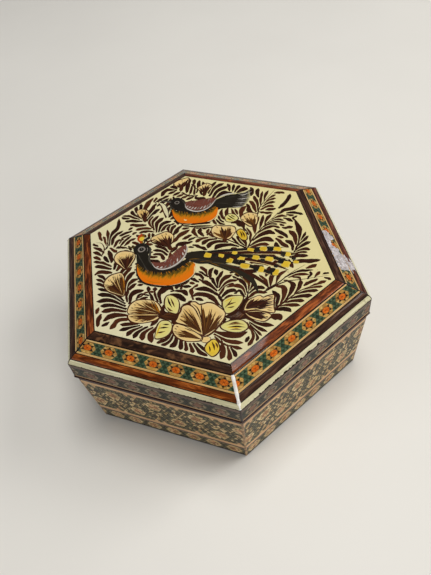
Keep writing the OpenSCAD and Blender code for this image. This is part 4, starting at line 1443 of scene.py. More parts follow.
def width(prof, t):
    if prof == "leaf":          # a full brush: narrow at the stem, soon broad, blunt tip
        if t < 0.42:
            x = t / 0.42
            return 0.30 + 0.70 * x * x * (3 - 2 * x)
        return 1.0 if t < 0.68 else max(0.0, (1 - t) / 0.32) ** 0.68
    if prof == "ray":           # widens from the heart, then drawn out to a point
        return 0.22 + 0.78 * t / 0.62 if t < 0.62 else max(0.0, (1 - t) / 0.38) ** 0.8
    if prof == "edge":
        return 0.75 + 0.25 * math.sin(9 * t)
    if prof == "comma":         # a full brush laid down and drawn off to a point
        if t < 0.3:
            return (t / 0.3) ** 0.5
        return max(0.0, 1 - (t - 0.3) / 0.7) ** 0.85
    if prof == "spike":         # quick strokes: full in the middle, both ends drawn out
        return (t / 0.5) ** 0.7 if t < 0.5 else max(0.0, 1 - (t - 0.5) / 0.5) ** 0.9
    if prof == "spindle":
        return math.sin(math.pi * min(1, max(0, t))) ** 0.75
    if prof == "taper":
        return 1 - 0.85 * t
    return 1.0                  # line


class Grid:
    """What is already painted, on a 0.12 mm raster of the panel."""
    S = 0.12

    def __init__(self):
        self.n = 800
        self.g = np.zeros((self.n, self.n), bool)

    def at(self, v):
        return int((v + 48) / self.S)

    def mark(self, pts, w, prof, n=None):
        c = curve(pts, n or max(8, int(length(pts) / 0.12)))
        for i, (x, y) in enumerate(c):
            r = max(0.06, w * width(prof, i / (len(c) - 1)) * 0.5) / self.S
            k = int(r + 0.5)
            ix, iy = self.at(x), self.at(y)
            if k < ix < self.n - k - 1 and k < iy < self.n - k - 1:
                yy, xx = np.ogrid[-k:k + 1, -k:k + 1]
                self.g[ix - k:ix + k + 1, iy - k:iy + k + 1] |= (xx * xx + yy * yy <= r * r + 0.3)

    def free(self, pts, w, prof, gap, skip=0.0):
        """True if the stroke, with a gap round it, meets nothing; the first part of it may."""
        n = max(6, int(length(pts) / 0.45))
        c = curve(pts, n)
        for i, (x, y) in enumerate(c):
            t = i / (n - 1)
            if t < skip:
                continue
            k = int(((w * width(prof, t) * 0.5) * 0.9 + gap) / self.S + 0.5)
            ix, iy = self.at(x), self.at(y)
            if self.g[ix - k:ix + k + 1, iy - k:iy + k + 1].any():
                return False
        return True

    def poly(self, o):
        xs, ys = np.array([q[0] for q in o]), np.array([q[1] for q in o])
        i0, i1 = max(0, self.at(xs.min())), min(self.n, self.at(xs.max()) + 2)
        j0, j1 = max(0, self.at(ys.min())), min(self.n, self.at(ys.max()) + 2)
        X, Y = np.meshgrid(np.arange(i0, i1) * self.S - 48, np.arange(j0, j1) * self.S - 48, indexing="ij")
        inside = np.zeros(X.shape, bool)
        for (x1, y1), (x2, y2) in zip(o, o[1:] + o[:1]):
            if y1 == y2:
                continue
            inside ^= ((y1 > Y) != (y2 > Y)) & (X < (x2 - x1) * (Y - y1) / (y2 - y1) + x1)
        self.g[i0:i1, j0:j1] |= inside


def on_panel(x, y, margin=0.9):
    return max(abs(y), abs(x * math.cos(math.radians(30)) + y * 0.5), abs(x * math.cos(math.radians(30)) - y * 0.5)) < 40.68 - margin


leaves = Paint("panel_leaf_sprays", 0.004)
petals = Paint("panel_blossoms", 0.030)
hatch = Paint("panel_blossom_lines", 0.074)
birds = Paint("panel_birds", 0.075)
detail = Paint("panel_bird_details", 0.13)
occ = Grid()          # leaves
body = Grid()         # blossoms and birds
R = random.Random(20)


LEAVES = []                # every leaf stroke: line, width, paint, profile, tone


def nearest(seed):
    """For each cell of the raster the label of the nearest seeded cell."""
    n = seed.shape[0]
    I, J = np.meshgrid(np.arange(n, dtype=np.float32), np.arange(n, dtype=np.float32), indexing="ij")
    lab = seed.copy()
    px, py = np.where(seed > 0, I, -9999).astype(np.float32), np.where(seed > 0, J, -9999).astype(np.float32)
    best = (px - I) ** 2 + (py - J) ** 2
    for step in (64, 32, 16, 8, 4, 2, 1, 1):
        for a in (-step, 0, step):
            for b in (-step, 0, step):
                if a == 0 and b == 0:
                    continue
                qx, qy, ql = (np.roll(m_, (a, b), (0, 1)) for m_ in (px, py, lab))
                d = (qx - I) ** 2 + (qy - J) ** 2
                k = d < best
                best[k], px[k], py[k], lab[k] = d[k], qx[k], qy[k], ql[k]
    return lab


def lay_leaves(swell=2.6, gap=0.04):
    """Each leaf fills the room it has, up to a thin clear line between it and its neighbours."""
    seed = np.zeros((occ.n, occ.n), np.int32)
    for i, (pts, w, mat, prof, tone) in enumerate(LEAVES):
        for x, y in curve(pts, max(8, int(length(pts) / 0.12))):
            seed[occ.at(x), occ.at(y)] = i + 1
    lab = nearest(seed)
    for i, (pts, w, mat, prof, tone) in enumerate(LEAVES):
        if prof in ("taper", "line"):
            leaves.stroke(pts, w, mat, prof, tone, rng=R)
            continue
        n = max(9, min(22, int(length(pts) / 0.6) + 5))
        c = curve(pts, n)
        m = len(c)
        big = w * swell if w < 1.4 else max(w * 1.25, 1.4 * swell)
        room = ([], [])
        for q, (x, y) in enumerate(c):
            a, b = c[max(0, q - 1)], c[min(m - 1, q + 1)]
            dx, dy = b[0] - a[0], b[1] - a[1]
            d = math.hypot(dx, dy) or 1.0
            nx, ny = -dy / d, dx / d
            for side_, out_ in ((1, room[0]), (-1, room[1])):
                far = 0.12
                while far < 1.9:
                    u, v = x + side_ * nx * far, y + side_ * ny * far
                    iu, iv = occ.at(u), occ.at(v)
                    if lab[iu, iv] != i + 1 or not on_panel(u, v, 0.25):
                        break
                    far += 0.06
                # close to its neighbours a leaf swells towards them, in the open it stays slim
                out_.append(max(0.24, min(far - 0.04 - gap / 2, w * 0.74 + 0.9 * max(0.0, 1.85 - far))))
        even = [[(r_[max(0, q - 1)] + 2 * r_[q] + r_[min(m - 1, q + 1)]) / 4 for q in range(m)] for r_ in room]
        leaves.stroke(pts, big, mat, prof, tone, n=n, rng=R, room=even)


def leaf(pts, w, prof="leaf", tone=None, mat="p_leaf", dz=0.0):
    """A leaf stroke, shortened until it stays on the panel."""
    pts = curve(pts, 13)
    while len(pts) > 4 and not all(on_panel(x, y, 0.35) for x, y in pts):
        pts = pts[:-1]
    if len(pts) < 5:
        return
    LEAVES.append((pts, w, mat, prof, tone))
    occ.mark(pts, w, prof)


def frond(stem, n, ln, w, spread=48, side=0, stem_w=0.55, curl=26, t0=0.08, gap=0.2):
    """A stem with leaves along it, on both sides or one, long in the middle."""
    c = curve(stem, 40)
    LEAVES.append((c, stem_w, "p_leaf", "taper", None))
    occ.mark(c, stem_w, "taper")
    for i in range(n):
        t = t0 + (0.96 - t0) * i / max(1, n - 1)
        j = min(38, int(t * 39))
        (x, y), (x2, y2) = c[j], c[j + 1]
        d = math.degrees(math.atan2(y2 - y, x2 - x))
        size = ln * (0.66 + 0.42 * math.sin(math.pi * (0.15 + 0.75 * t)))
        for s in ((1, -1) if side == 0 else (side,)):
            reach(x, y, d + s * (spread * (1 - 0.35 * t) + R.uniform(-4, 4)), size * R.uniform(0.9, 1.12), w * R.uniform(0.85, 1.15),
                  -s * curl, gap, skip=0.3)


def path(x, y, ang, ln, bend):
    a = math.radians(ang)
    pts = [(x, y)]
    for i in range(1, 7):
        a2 = a + math.radians(bend) * (i / 6) ** 1.2
        x += math.cos(a2) * ln / 6
        y += math.sin(a2) * ln / 6
        pts.append((x, y))
    return pts


def reach(x, y, ang, ln, w, bend, gap=0.2, skip=0.3, least=0.42):
    """The longest leaf from (x, y) that finds room."""
    for f in (1.0, 0.85, 0.72, 0.6, 0.5, 0.42):
        if f < least:
            return False
        pts = path(x, y, ang, ln * f, bend * f)
        if not all(on_panel(a, b, 0.7) for a, b in pts):
            continue
        if occ.free(pts, w, "leaf", gap, skip) and body.free(pts, w * 0.6, "leaf", 0.0, 0.75):
            LEAVES.append((pts, w * (0.8 + 0.2 * f), "p_leaf", "leaf", None))
            occ.mark(pts, w * (0.8 + 0.2 * f), "leaf")
            return True
    return False


def fan(root, tips, n, w=1.0, mat="p_hatch", rr=random, dz=0.006, jag=0.16):
    """Strokes from the heart of a flower out to a ragged edge through the tips."""
    e = curve(tips, 40) if len(tips) > 2 else [(tips[0][0] + (tips[1][0] - tips[0][0]) * i / 39, tips[0][1] + (tips[1][1] - tips[0][1]) * i / 39) for i in range(40)]
    n = int(n * 1.3)
    gap = length(e) / n
    for j in range(n):
        x, y = e[min(39, int((j + rr.uniform(0.3, 0.7)) / n * 39))]
        f = 1.10 + rr.uniform(-jag * 1.5, jag * 0.75)
        x, y = root[0] + (x - root[0]) * f, root[1] + (y - root[1]) * f
        ax, ay = root[0] + (x - root[0]) * 0.06, root[1] + (y - root[1]) * 0.06
        k = rr.uniform(-.03, .03)
        hatch.stroke([(ax, ay), ((ax + x) / 2 - (y - ay) * k, (ay + y) / 2 + (x - ax) * k), (x, y)],
                     gap * w * rr.uniform(0.9, 1.35), mat if rr.random() < 0.72 else "p_leaf", "ray", rng=rr, dz=dz + 0.002 * (j % 4))


def petal(o, mat="p_petal", line=0.66, seed=0, skip=0):
    """One petal with its outline in dark paint; skip leaves the first points of the outline bare."""
    rr = random.Random(seed)
    c = (sum(q[0] for q in o) / len(o), sum(q[1] for q in o) / len(o))
    petals.shape(o, c, mat, rr.random(), h=0.03, dz=0.0015 * (seed % 4))
    body.poly(curve(o + o[:1], len(o) * 4)[:-1])
    if line:
        e = curve(o + o[:1], len(o) * 5 + 1)[skip * 5:]
        h_ = len(e) // 2
        for part in (e[:h_ + 2], e[h_ - 1:]):
            hatch.stroke(part, line * rr.uniform(.85, 1.15), "p_leaf", "edge", 0.4, n=len(part), rng=rr, dz=-0.022)


def nib(pts, w=0.4, mat="p_hatch", prof="spike", dz=0.012):
    hatch.stroke(list(pts), w, mat, prof, rng=R, dz=dz)


def flower(hx, hy, o, tips, n, seed, mat="p_petal", line=0.60, w=1.25, hm="p_hatch", jag=0.24):
    """A small flower: pale cap, dark strokes that rise into it from the heart, and a calyx."""
    rr = random.Random(seed)
    petal(o, mat, line, seed)
    far = [(hx + (x - hx) * 1.16, hy + (y - hy) * 1.16) for x, y in tips]
    fan((hx, hy), far, n, w, hm, rr, jag=jag)
    for j in range(7):          # short marks from the rim inwards
        x, y = o[rr.randrange(len(o))]
        f = rr.uniform(0.90, 0.96)
        x, y = hx + (x - hx) * f, hy + (y - hy) * f
        hatch.stroke([(x, y), (hx + (x - hx) * 0.82, hy + (y - hy) * 0.82)], 0.36, "p_leaf", "spike", rng=rr, dz=0.004)
    cx, cy = sum(q[0] for q in tips) / len(tips), sum(q[1] for q in tips) / len(tips)
    a = math.atan2(cy - hy, cx - hx)
    hatch.stroke([(hx - math.cos(a) * 1.6, hy - math.sin(a) * 1.6), (hx, hy), (hx + math.cos(a) * 2.2, hy + math.sin(a) * 2.2)], 1.7, "p_leaf", "spindle",
                 0.4, rng=rr, dz=0.004)


def young_leaf(o, mat, veins, seed=0, tint=None):
    rr = random.Random(700 + seed)
    petal(o, mat, 0.60, 40 + seed)
    if tint:
        hatch.stroke(tint, 1.1, "p_yellow", "spindle", rng=rr, dz=-0.026)
    for v in veins:
        hatch.stroke(list(v), 0.62 * rr.uniform(.8, 1.2), "p_hatch" if rr.random() < .4 else "p_leaf", "spike", rng=rr, dz=0.0)


# the great flower at the front: three petals
petal([(11.6, -33.6), (9.0, -32.2), (5.2, -31.2), (1.6, -31.2), (1.2, -33.2), (2.4, -35.0), (4.6, -36.3), (7.6, -36.6), (10.4, -35.9), (12.2, -34.9)], seed=1)
petal([(12.0, -33.2), (9.6, -32.4), (5.4, -30.9), (1.4, -30.5), (1.0, -28.4), (1.3, -26.0), (1.0, -24.0), (2.6, -22.7), (4.6, -23.2), (6.8, -25.2), (8.8, -28.0), (11.4, -31.4)], seed=2)
petal([(12.4, -33.4), (10.9, -31.0), (8.6, -27.4), (6.0, -24.2), (3.6, -22.6), (3.2, -21.6), (4.6, -21.0), (6.2, -21.7), (7.6, -21.1), (8.8, -20.2), (11.0, -20.1), (13.6, -21.2),
       (15.8, -22.6), (16.2, -25.2), (15.6, -28.2), (14.4, -31.4)], seed=3)
rr = random.Random(31)
fan((11.4, -32.5), [(4.4, -24.7), (3.3, -26.3), (3.0, -28.0), (3.6, -29.6), (5.4, -30.4)], 17, 1.2, rr=rr)
fan((12.3, -33.2), [(7.2, -22.3), (8.6, -24.4), (10.2, -25.2), (10.9, -23.4), (12.0, -24.8), (13.2, -25.2), (14.6, -25.4), (15.2, -27.2), (15.0, -29.0)], 24, 1.15, rr=rr, jag=0.22)
fan((12.0, -34.7), [(4.6, -32.7), (3.4, -33.4), (4.0, -34.6), (5.6, -35.7)], 12, 1.2, rr=rr)
nib([(8.0, -22.6), (10.0, -27.0), (12.0, -32.0)], 1.0, prof="spindle")
for v in (((2.0, -31.9), (3.2, -32.2)), ((1.9, -32.9), (3.0, -33.2)), ((2.2, -34.2), (3.4, -34.2)), ((5.0, -32.0), (8.6, -32.6)), ((2.0, -29.0), (3.2, -29.2)), ((2.0, -27.8), (3.0, -28.2))):
    nib(v)
nib([(3.6, -21.9), (6.4, -23.4), (9.0, -27.0), (11.2, -31.2)], 0.42, "p_leaf", "spindle")
nib([(1.4, -30.9), (5.4, -31.3), (9.2, -32.6), (11.6, -33.7)], 0.36, "p_leaf", "spindle")
nib([(10.6, -30.8), (8.4, -27.6), (6.0, -25.0)], 0.6, "p_petal", "spindle", 0.016)
nib([(11.2, -33.0), (8.4, -31.9), (5.0, -31.2)], 0.5, "p_petal", "spindle", 0.016)
hatch.stroke([(0.4, -23.6), (2.6, -21.8), (3.6, -20.8)], 0.5, "p_leaf", "spindle", rng=rr)
hatch.stroke([(15.6, -22.4), (14.2, -20.8), (12.0, -19.8)], 0.5, "p_leaf", "spindle", rng=rr)
petal([(12.0, -34.0), (13.2, -33.2), (14.6, -33.4), (14.6, -35.0), (13.0, -35.6), (11.8, -35.0)], line=0.3, seed=5)
# left of it
petal([(-4.6, -29.2), (-5.2, -31.4), (-7.2, -32.8), (-9.8, -34.0), (-12.4, -34.4), (-14.4, -33.6), (-15.4, -32.0), (-13.0, -30.4), (-9.0, -29.4)], seed=6)
petal([(-4.6, -28.6), (-8.0, -29.6), (-12.0, -30.8), (-15.6, -31.4), (-16.6, -29.6), (-16.5, -27.4), (-15.2, -25.5), (-12.8, -24.5), (-10.2, -24.1), (-8.2, -24.4), (-6.0, -26.0)], seed=7)
fan((-4.8, -28.7), [(-8.6, -24.9), (-10.6, -25.0), (-12.4, -25.6), (-13.8, -26.8), (-14.4, -28.2), (-14.4, -29.6), (-13.6, -30.8)], 24, 1.12, rr=rr, jag=0.2)
fan((-4.8, -29.3), [(-13.4, -31.6), (-12.6, -32.6), (-11.0, -33.0), (-9.0, -32.8), (-7.0, -32.0)], 15, 1.12, rr=rr, jag=0.2)
nib([(-5.0, -28.6), (-7.2, -26.6), (-8.4, -24.9)], 0.5, "p_gold", "spindle", 0.018)
nib([(-5.2, -28.4), (-7.8, -27.2), (-10.0, -25.2)], 0.4, "p_gold", "spindle", 0.018)
for v in (((-15.8, -29.0), (-14.8, -28.9)), ((-15.4, -27.4), (-14.4, -27.6)), ((-14.4, -32.6), (-13.2, -32.2)), ((-12.0, -33.6), (-11.0, -33.0)), ((-9.8, -33.4), (-8.8, -32.8))):
    nib(v)
hatch.shape([(-5.8, -28.2), (-5.0, -26.6), (-3.4, -27.4), (-1.0, -27.6), (1.2, -27.2), (1.4, -30.0), (-1.2, -30.4), (-3.6, -30.6), (-5.2, -30.2)], (-2.4, -28.9), "p_leaf", 0.7, h=0.02, dz=-0.02)
body.poly([(-5.8, -28.2), (-5.0, -26.6), (1.2, -27.2), (1.4, -30.0), (-5.2, -30.2)])
for q in range(9):
    hatch.stroke([(-5.2 + .2 * q, -28.9 + rr.uniform(-1, 1)), (-2.6, -28.8 + 0.32 * (q - 4)), (1.0, -28.6 + 0.3 * (q - 4))], 0.36, ("p_hatch", "p_hatch", "p_leaf")[q % 3], "spike", rng=rr, dz=0.004)
# right: darker, half closed
petal([(22.0, -21.0), (24.4, -19.6), (26.6, -19.2), (30.4, -19.6), (30.2, -21.4), (29.0, -22.8), (26.6, -23.0), (24.0, -22.5)], "p_petal", seed=9)
petal([(21.6, -20.4), (21.1, -18.2), (21.6, -15.8), (23.0, -14.2), (24.6, -12.9), (26.0, -13.4), (27.4, -12.3), (29.3, -11.5), (29.9, -14.0), (30.6, -16.6), (31.2, -18.6), (28.0, -19.0), (24.4, -19.4)],
      "p_petal", seed=10)
fan((21.7, -19.6), [(22.2, -15.6), (23.8, -14.9), (25.6, -14.8), (27.4, -13.8), (29.0, -13.2), (29.2, -15.2), (28.6, -16.8), (27.0, -18.0)], 23, 1.3, rr=rr, mat="p_leaf", jag=0.2)
fan((22.0, -20.9), [(27.4, -19.2), (29.2, -20.0), (28.8, -21.4), (27.4, -22.2), (25.2, -22.2)], 15, 1.3, rr=rr, mat="p_leaf", jag=0.16)
for v in (((28.4, -17.2), (30.4, -17.0)), ((28.6, -18.1), (30.4, -18.0)), ((27.4, -12.9), (29.0, -12.2)), ((29.0, -20.8), (30.0, -20.9))):
    nib(v, 0.4, "p_leaf")
nib([(21.8, -20.2), (23.8, -19.0), (26.4, -18.3)], 0.6, "p_petal", "spindle", 0.02)
hatch.shape([(16.2, -24.4), (17.6, -22.4), (19.2, -20.4), (20.4, -19.6), (21.4, -20.0), (22.4, -21.4), (23.6, -22.8), (22.0, -23.9), (18.8, -24.6)], (20.0, -22.4), "p_leaf", 0.7, h=0.02, dz=-0.02)
body.poly([(16.2, -24.4), (19.2, -20.4), (21.4, -20.0), (23.6, -22.8), (18.8, -24.6)])
for q in range(10):
    hatch.stroke([(17.0 + 0.5 * q, -24.4 + 0.06 * q), (18.8 + 0.36 * q, -22.8 + .1 * q), (20.4 + .2 * q, -20.6 - .16 * q)], 0.36, ("p_hatch", "p_leaf", "p_hatch")[q % 3], "spike", rng=rr, dz=0.004)
# the left corner of the panel, two flowers in profile
petal([(-20.4, -24.8), (-23.4, -25.0), (-27.0, -24.4), (-29.4, -22.6), (-30.2, -20.2), (-29.6, -17.8), (-28.0, -16.2), (-26.2, -15.3), (-24.6, -16.4), (-23.2, -18.4), (-21.6, -21.4)], seed=12)
fan((-20.6, -24.8), [(-28.2, -23.4), (-28.2, -22.0), (-28.6, -20.6), (-27.2, -19.6), (-26.8, -17.6), (-25.4, -17.2), (-23.8, -18.2), (-22.4, -20.4)], 30, 1.15, rr=rr, jag=0.2)
for v in (((-29.4, -19.4), (-28.2, -20.4)), ((-28.4, -17.6), (-27.4, -18.6)), ((-29.4, -21.8), (-28.2, -22.0)), ((-26.4, -16.0), (-26.0, -17.2))):
    nib(v, 0.34)
nib([(-20.8, -24.0), (-23.0, -19.6), (-24.8, -16.8)], 0.5, "p_gold", "spindle", 0.018)
nib([(-21.2, -24.4), (-24.6, -20.6), (-26.4, -18.4)], 0.4, "p_petal", "spindle", 0.018)
petal([(-25.0, -13.4), (-28.0, -12.4), (-31.0, -10.8), (-32.1, -8.8), (-31.9, -6.8), (-30.6, -5.5), (-28.6, -5.0), (-26.4, -5.0), (-24.9, -6.0), (-24.2, -8.6)], seed=13)
fan((-25.0, -13.6), [(-29.9, -10.2), (-29.8, -8.8), (-28.4, -8.0), (-27.6, -6.9), (-26.2, -6.3), (-24.9, -6.4)], 20, 1.3, rr=rr, mat="p_leaf", jag=0.16)
# smaller ones further back
flower(-13.6, 0.4, [(-15.0, 1.0), (-18.4, 1.0), (-21.4, 1.6), (-22.6, 3.4), (-21.6, 5.0), (-20.0, 6.6), (-18.6, 7.9), (-16.9, 7.9), (-15.2, 7.1), (-14.2, 5.6), (-13.8, 3.2)],
       [(-20.2, 1.4), (-19.2, 2.8), (-18.2, 3.8), (-17.2, 4.6), (-16.2, 5.4), (-14.8, 5.6)], 11, 14, hm="p_leaf")
flower(-29.2, 12.2, [(-30.2, 12.4), (-31.6, 13.0), (-33.6, 14.6), (-34.4, 16.4), (-33.2, 17.6), (-31.4, 17.7), (-29.8, 17.0), (-29.0, 15.4), (-29.2, 13.4)],
       [(-31.8, 13.6), (-31.4, 14.8), (-30.6, 15.6), (-29.6, 15.8)], 7, 15, hm="p_leaf")
flower(-22.0, 32.6, [(-23.4, 33.4), (-25.6, 34.0), (-26.4, 35.0), (-25.6, 37.0), (-24.0, 38.6), (-22.0, 39.9), (-21.0, 39.0), (-20.8, 37.0), (-21.4, 34.6)],
       [(-24.6, 34.2), (-23.6, 35.2), (-22.8, 36.4), (-21.6, 37.6), (-21.0, 37.4)], 9, 16, hm="p_leaf")
flower(-11.6, 31.8, [(-12.8, 33.0), (-15.2, 33.8), (-15.6, 35.0), (-14.4, 36.8), (-13.0, 38.2), (-11.4, 38.0), (-10.2, 37.0), (-10.2, 34.8), (-10.8, 33.0)],
       [(-14.2, 34.2), (-13.2, 35.0), (-12.2, 35.6), (-11.2, 36.2), (-10.6, 35.8)], 9, 17, hm="p_leaf")
flower(13.4, 18.2, [(12.2, 18.0), (10.2, 18.6), (8.4, 19.8), (7.0, 21.4), (7.2, 23.4), (8.6, 25.0), (10.6, 25.4), (12.4, 25.0), (13.4, 22.6), (13.8, 20.0)],
       [(9.2, 20.0), (9.4, 21.0), (10.4, 21.6), (11.4, 22.6), (12.8, 23.0)], 12, 18)
flower(4.8, 9.2, [(3.4, 9.2), (0.4, 9.8), (-1.2, 11.4), (-1.9, 13.4), (-1.0, 15.6), (1.6, 15.8), (4.6, 16.6), (6.4, 16.2), (7.4, 14.2), (7.0, 11.8), (6.2, 9.8)],
       [(0.4, 11.2), (1.8, 12.2), (2.6, 14.0), (4.4, 14.4), (5.4, 13.8), (6.4, 12.6)], 10, 19, jag=0.26)
# young leaves, pale green or yellow
young_leaf([(-6.0, -21.6), (-5.0, -20.4), (-3.2, -20.6), (-1.2, -21.8), (0.2, -24.4), (0.5, -27.2), (-1.4, -27.4), (-3.6, -26.6), (-5.2, -24.6)], "p_green",
           (((-5.4, -21.4), (-3.8, -23.6), (-2.0, -25.4)), ((-4.2, -21.6), (-2.6, -23.4), (-1.2, -25.0)), ((-3.8, -25.4), (-2.4, -26.4), (-1.0, -26.6))), 1)
young_leaf([(-3.9, -32.2), (-3.0, -31.0), (-1.0, -30.7), (0.6, -31.8), (1.3, -34.2), (0.7, -36.4), (-0.8, -37.8), (-2.6, -38.3), (-3.4, -36.4), (-3.9, -34.2)], "p_green",
           (((-3.2, -34.4), (-1.6, -33.6), (0.0, -33.2)), ((-3.0, -36.2), (-1.8, -35.6), (-0.4, -34.8)), ((-2.4, -32.6), (-1.2, -32.2), (-0.2, -32.0))), 2, [(-3.2, -32.2), (-2.9, -35.0), (-2.6, -37.6)])
young_leaf([(13.5, -18.0), (15.0, -16.0), (17.2, -14.9), (19.4, -14.7), (19.8, -17.0), (19.2, -19.8), (17.8, -22.2), (16.2, -22.9), (14.8, -21.6), (13.8, -19.8)], "p_green",
           (((15.0, -21.0), (15.8, -18.8), (16.2, -16.6)), ((15.6, -19.8), (16.6, -18.6), (18.0, -17.6)), ((15.8, -20.6), (17.2, -20.0), (18.0, -19.4))), 3, [(14.0, -18.6), (15.4, -17.0), (17.4, -15.8)])
young_leaf([(14.0, -37.2), (14.4, -35.0), (15.8, -33.5), (17.6, -34.6), (18.8, -36.6), (18.5, -38.6), (17.4, -39.8), (15.8, -39.2), (14.6, -38.4)], "p_yellow",
           (((15.4, -34.6), (16.6, -36.0), (17.4, -37.6)), ((16.6, -34.6), (17.4, -35.4), (18.2, -36.6)), ((15.0, -36.2), (15.8, -37.4), (16.2, -38.6))), 4)
young_leaf([(16.0, -28.2), (17.2, -26.3), (19.6, -24.8), (22.2, -24.2), (24.4, -25.4), (24.7, -27.0), (23.0, -28.8), (20.0, -29.5), (17.4, -29.3)], "p_green",
           (((17.8, -27.4), (20.8, -26.0), (23.4, -25.6)), ((18.6, -28.0), (21.2, -27.0), (24.0, -26.6)), ((19.4, -28.8), (21.4, -28.0), (23.2, -27.8)), ((18.4, -26.8), (20.2, -25.6), (21.8, -25.2))), 5,
           [(18.0, -28.2), (20.6, -27.6), (22.8, -27.0)])
young_leaf([(7.8, 14.6), (8.8, 15.8), (10.6, 14.9), (12.2, 12.8), (12.6, 10.9), (11.0, 10.6), (9.4, 11.8), (8.2, 13.2)], "p_yellow", (((8.8, 14.6), (10.0, 13.2), (10.6, 11.6)), ((9.6, 14.8), (10.8, 13.4), (11.6, 12.0))), 6)
young_leaf([(0.8, 20.8), (2.0, 22.8), (4.4, 22.8), (6.2, 21.0), (5.0, 19.0), (2.8, 18.4), (1.6, 19.2)], "p_green", (((1.6, 22.0), (3.4, 21.0), (5.4, 20.0)), ((1.6, 20.6), (3.0, 20.0), (4.4, 19.4)), ((2.6, 22.4), (3.8, 21.8), (5.0, 21.4))), 7,
           [(1.6, 19.8), (3.2, 19.6), (5.0, 19.8)])

def wing(rim, inner, seed, cx, cy):
    """A folded wing: a crescent of maroon feathers with a pale rim and streaks."""
    rr = random.Random(seed)
    birds.between(rim, inner, "p_maroon", rows=4, n=30, h=0.04, dz=0.02, tone=0.6)
    a_, b_ = curve(rim, 40), curve(inner, 40)
    for j in range(74):
        t = rr.uniform(0.04, 0.96)
        k = int(t * 39)
        u0 = rr.uniform(0.0, 0.4)
        u1 = u0 + rr.uniform(0.35, 0.75)
        k2 = min(39, max(0, k + rr.choice((1, 2, 3))))
        p0 = (a_[k][0] + (b_[k][0] - a_[k][0]) * u0, a_[k][1] + (b_[k][1] - a_[k][1]) * u0)
        p1 = (a_[k2][0] + (b_[k2][0] - a_[k2][0]) * min(1.12, u1), a_[k2][1] + (b_[k2][1] - a_[k2][1]) * min(1.12, u1))
        mid_ = ((p0[0] + p1[0]) / 2 + rr.uniform(-.3, .3), (p0[1] + p1[1]) / 2 + rr.uniform(-.3, .3))
        detail.stroke([p0, mid_, p1], rr.uniform(0.24, 0.42), rr.choice(("p_maroon", "p_leaf", "p_grey", "p_leaf", "p_grey", "p_white", "p_slate")), "spike", rng=rr,
                      dz=-0.03 + 0.002 * (j % 5))
    detail.stroke(rim, 0.95, "p_grey", "spindle", 0.4, n=30, dz=-0.012)
    detail.stroke(rim, 0.50, "p_white", "spindle", 0.8, n=30, dz=0.004)
    for j in range(9):
        k = 6 + j * 3
        x, y = a_[k][0] * .86 + b_[k][0] * .14, a_[k][1] * .86 + b_[k][1] * .14
        x2, y2 = a_[k + 2][0] * .62 + b_[k + 2][0] * .38, a_[k + 2][1] * .62 + b_[k + 2][1] * .38
        detail.stroke([(x, y), (x2, y2)], rr.uniform(.5, .8), rr.choice(("p_grey", "p_white")), "spindle", rng=rr, dz=-0.004)


def breast(upper, n, seed, reach_, into):
    """Short strokes that carry the dark back down into the belly."""
    rr = random.Random(seed)
    e = curve(upper, 60)
    for j in range(n):
        k = rr.randrange(2, 57)
        x, y = e[k]
        dx, dy = e[k + 1][0] - x, e[k + 1][1] - y
        d = math.hypot(dx, dy) or 1
        nx, ny = dy / d, -dx / d
        l_ = rr.uniform(0.5, 1.0) * reach_
        mat_ = "p_black" if l_ < 0.62 * reach_ else ("p_olive" if rr.random() < 0.7 else "p_gold")
        into.stroke([(x - nx * 0.4, y - ny * 0.4), (x + nx * l_ * .5 + dx / d * .3, y + ny * l_ * .5 + dy / d * .3),
                     (x + nx * l_ + dx / d * .8, y + ny * l_ + dy / d * .8)], rr.uniform(.3, .5), mat_, "comma", rng=rr, dz=0.016 + 0.001 * (j % 6))


# ------------ the upper bird, looking left
U = [(-21.6, 21.0), (-18.4, 19.8), (-14.2, 20.2), (-9.8, 21.0), (-6.4, 23.4), (-4.2, 26.4)]
Lw = [(-20.6, 19.4), (-18.6, 16.2), (-15.6, 13.9), (-11.6, 14.2), (-7.2, 15.6), (-3.8, 17.8), (-2.6, 21.2), (-3.6, 25.6)]
birds.between(U, Lw, "p_belly", rows=9, n=40, h=0.035)
breast(U, 46, 5, 2.0, birds)
birds.stroke([(-22.4, 24.2), (-18.8, 21.6), (-14.2, 20.6), (-9.2, 21.8), (-5.0, 26.2)], 3.6, "p_black", "spindle", 0.4, n=26, h=0.05, dz=0.004)
birds.shape([(-23.6, 24.6), (-22.6, 26.7), (-20.4, 27.3), (-17.8, 26.0), (-16.4, 23.4), (-17.8, 20.6), (-21.0, 20.2),
             (-23.0, 22.4)], (-20.2, 24.0), "p_black", 0.3, h=0.045, dz=0.005)
birds.stroke([(-19.8, 26.4), (-17.6, 24.8), (-16.4, 22.6)], 0.9, "p_slate", "spindle", 0.5, dz=0.03)
birds.stroke([(-23.0, 23.2), (-21.8, 21.4), (-19.6, 20.6)], 0.7, "p_slate", "spindle", 0.4, dz=0.03)
# tail
T_ = [(-7.4, 26.8), (-3.0, 32.4), (1.6, 34.6), (3.4, 34.4), (4.4, 31.0), (4.2, 27.2), (0.6, 26.0), (-3.2, 24.8)]
birds.shape(T_, (-0.6, 29.4), "p_black", 0.55, h=0.04, dz=0.002)
body.poly(T_)
for q in range(15):
    t = q / 14
    x, y = 2.4 + 0.5 * math.sin(t * 3), 26.8 + 8.6 * t
    birds.stroke([(x - 1.6, y - 0.1), (x + 1.4, y + 0.3), (x + 3.6 + 0.7 * math.sin(t * 3.1), y + 1.1 + 2.4 * t * t)], 0.56, "p_black" if q % 2 else "p_slate",
                 "leaf", rng=R, dz=0.004)
    if q % 2 == 0:
        detail.stroke([(x - 0.6, y), (x + 1.4, y + 0.35), (x + 3.6 + 0.7 * math.sin(t * 3.1), y + 1.2 + 2.4 * t * t)], 0.42, "p_grey" if q % 4 else "p_white",
                      "leaf", rng=R, dz=-0.03)
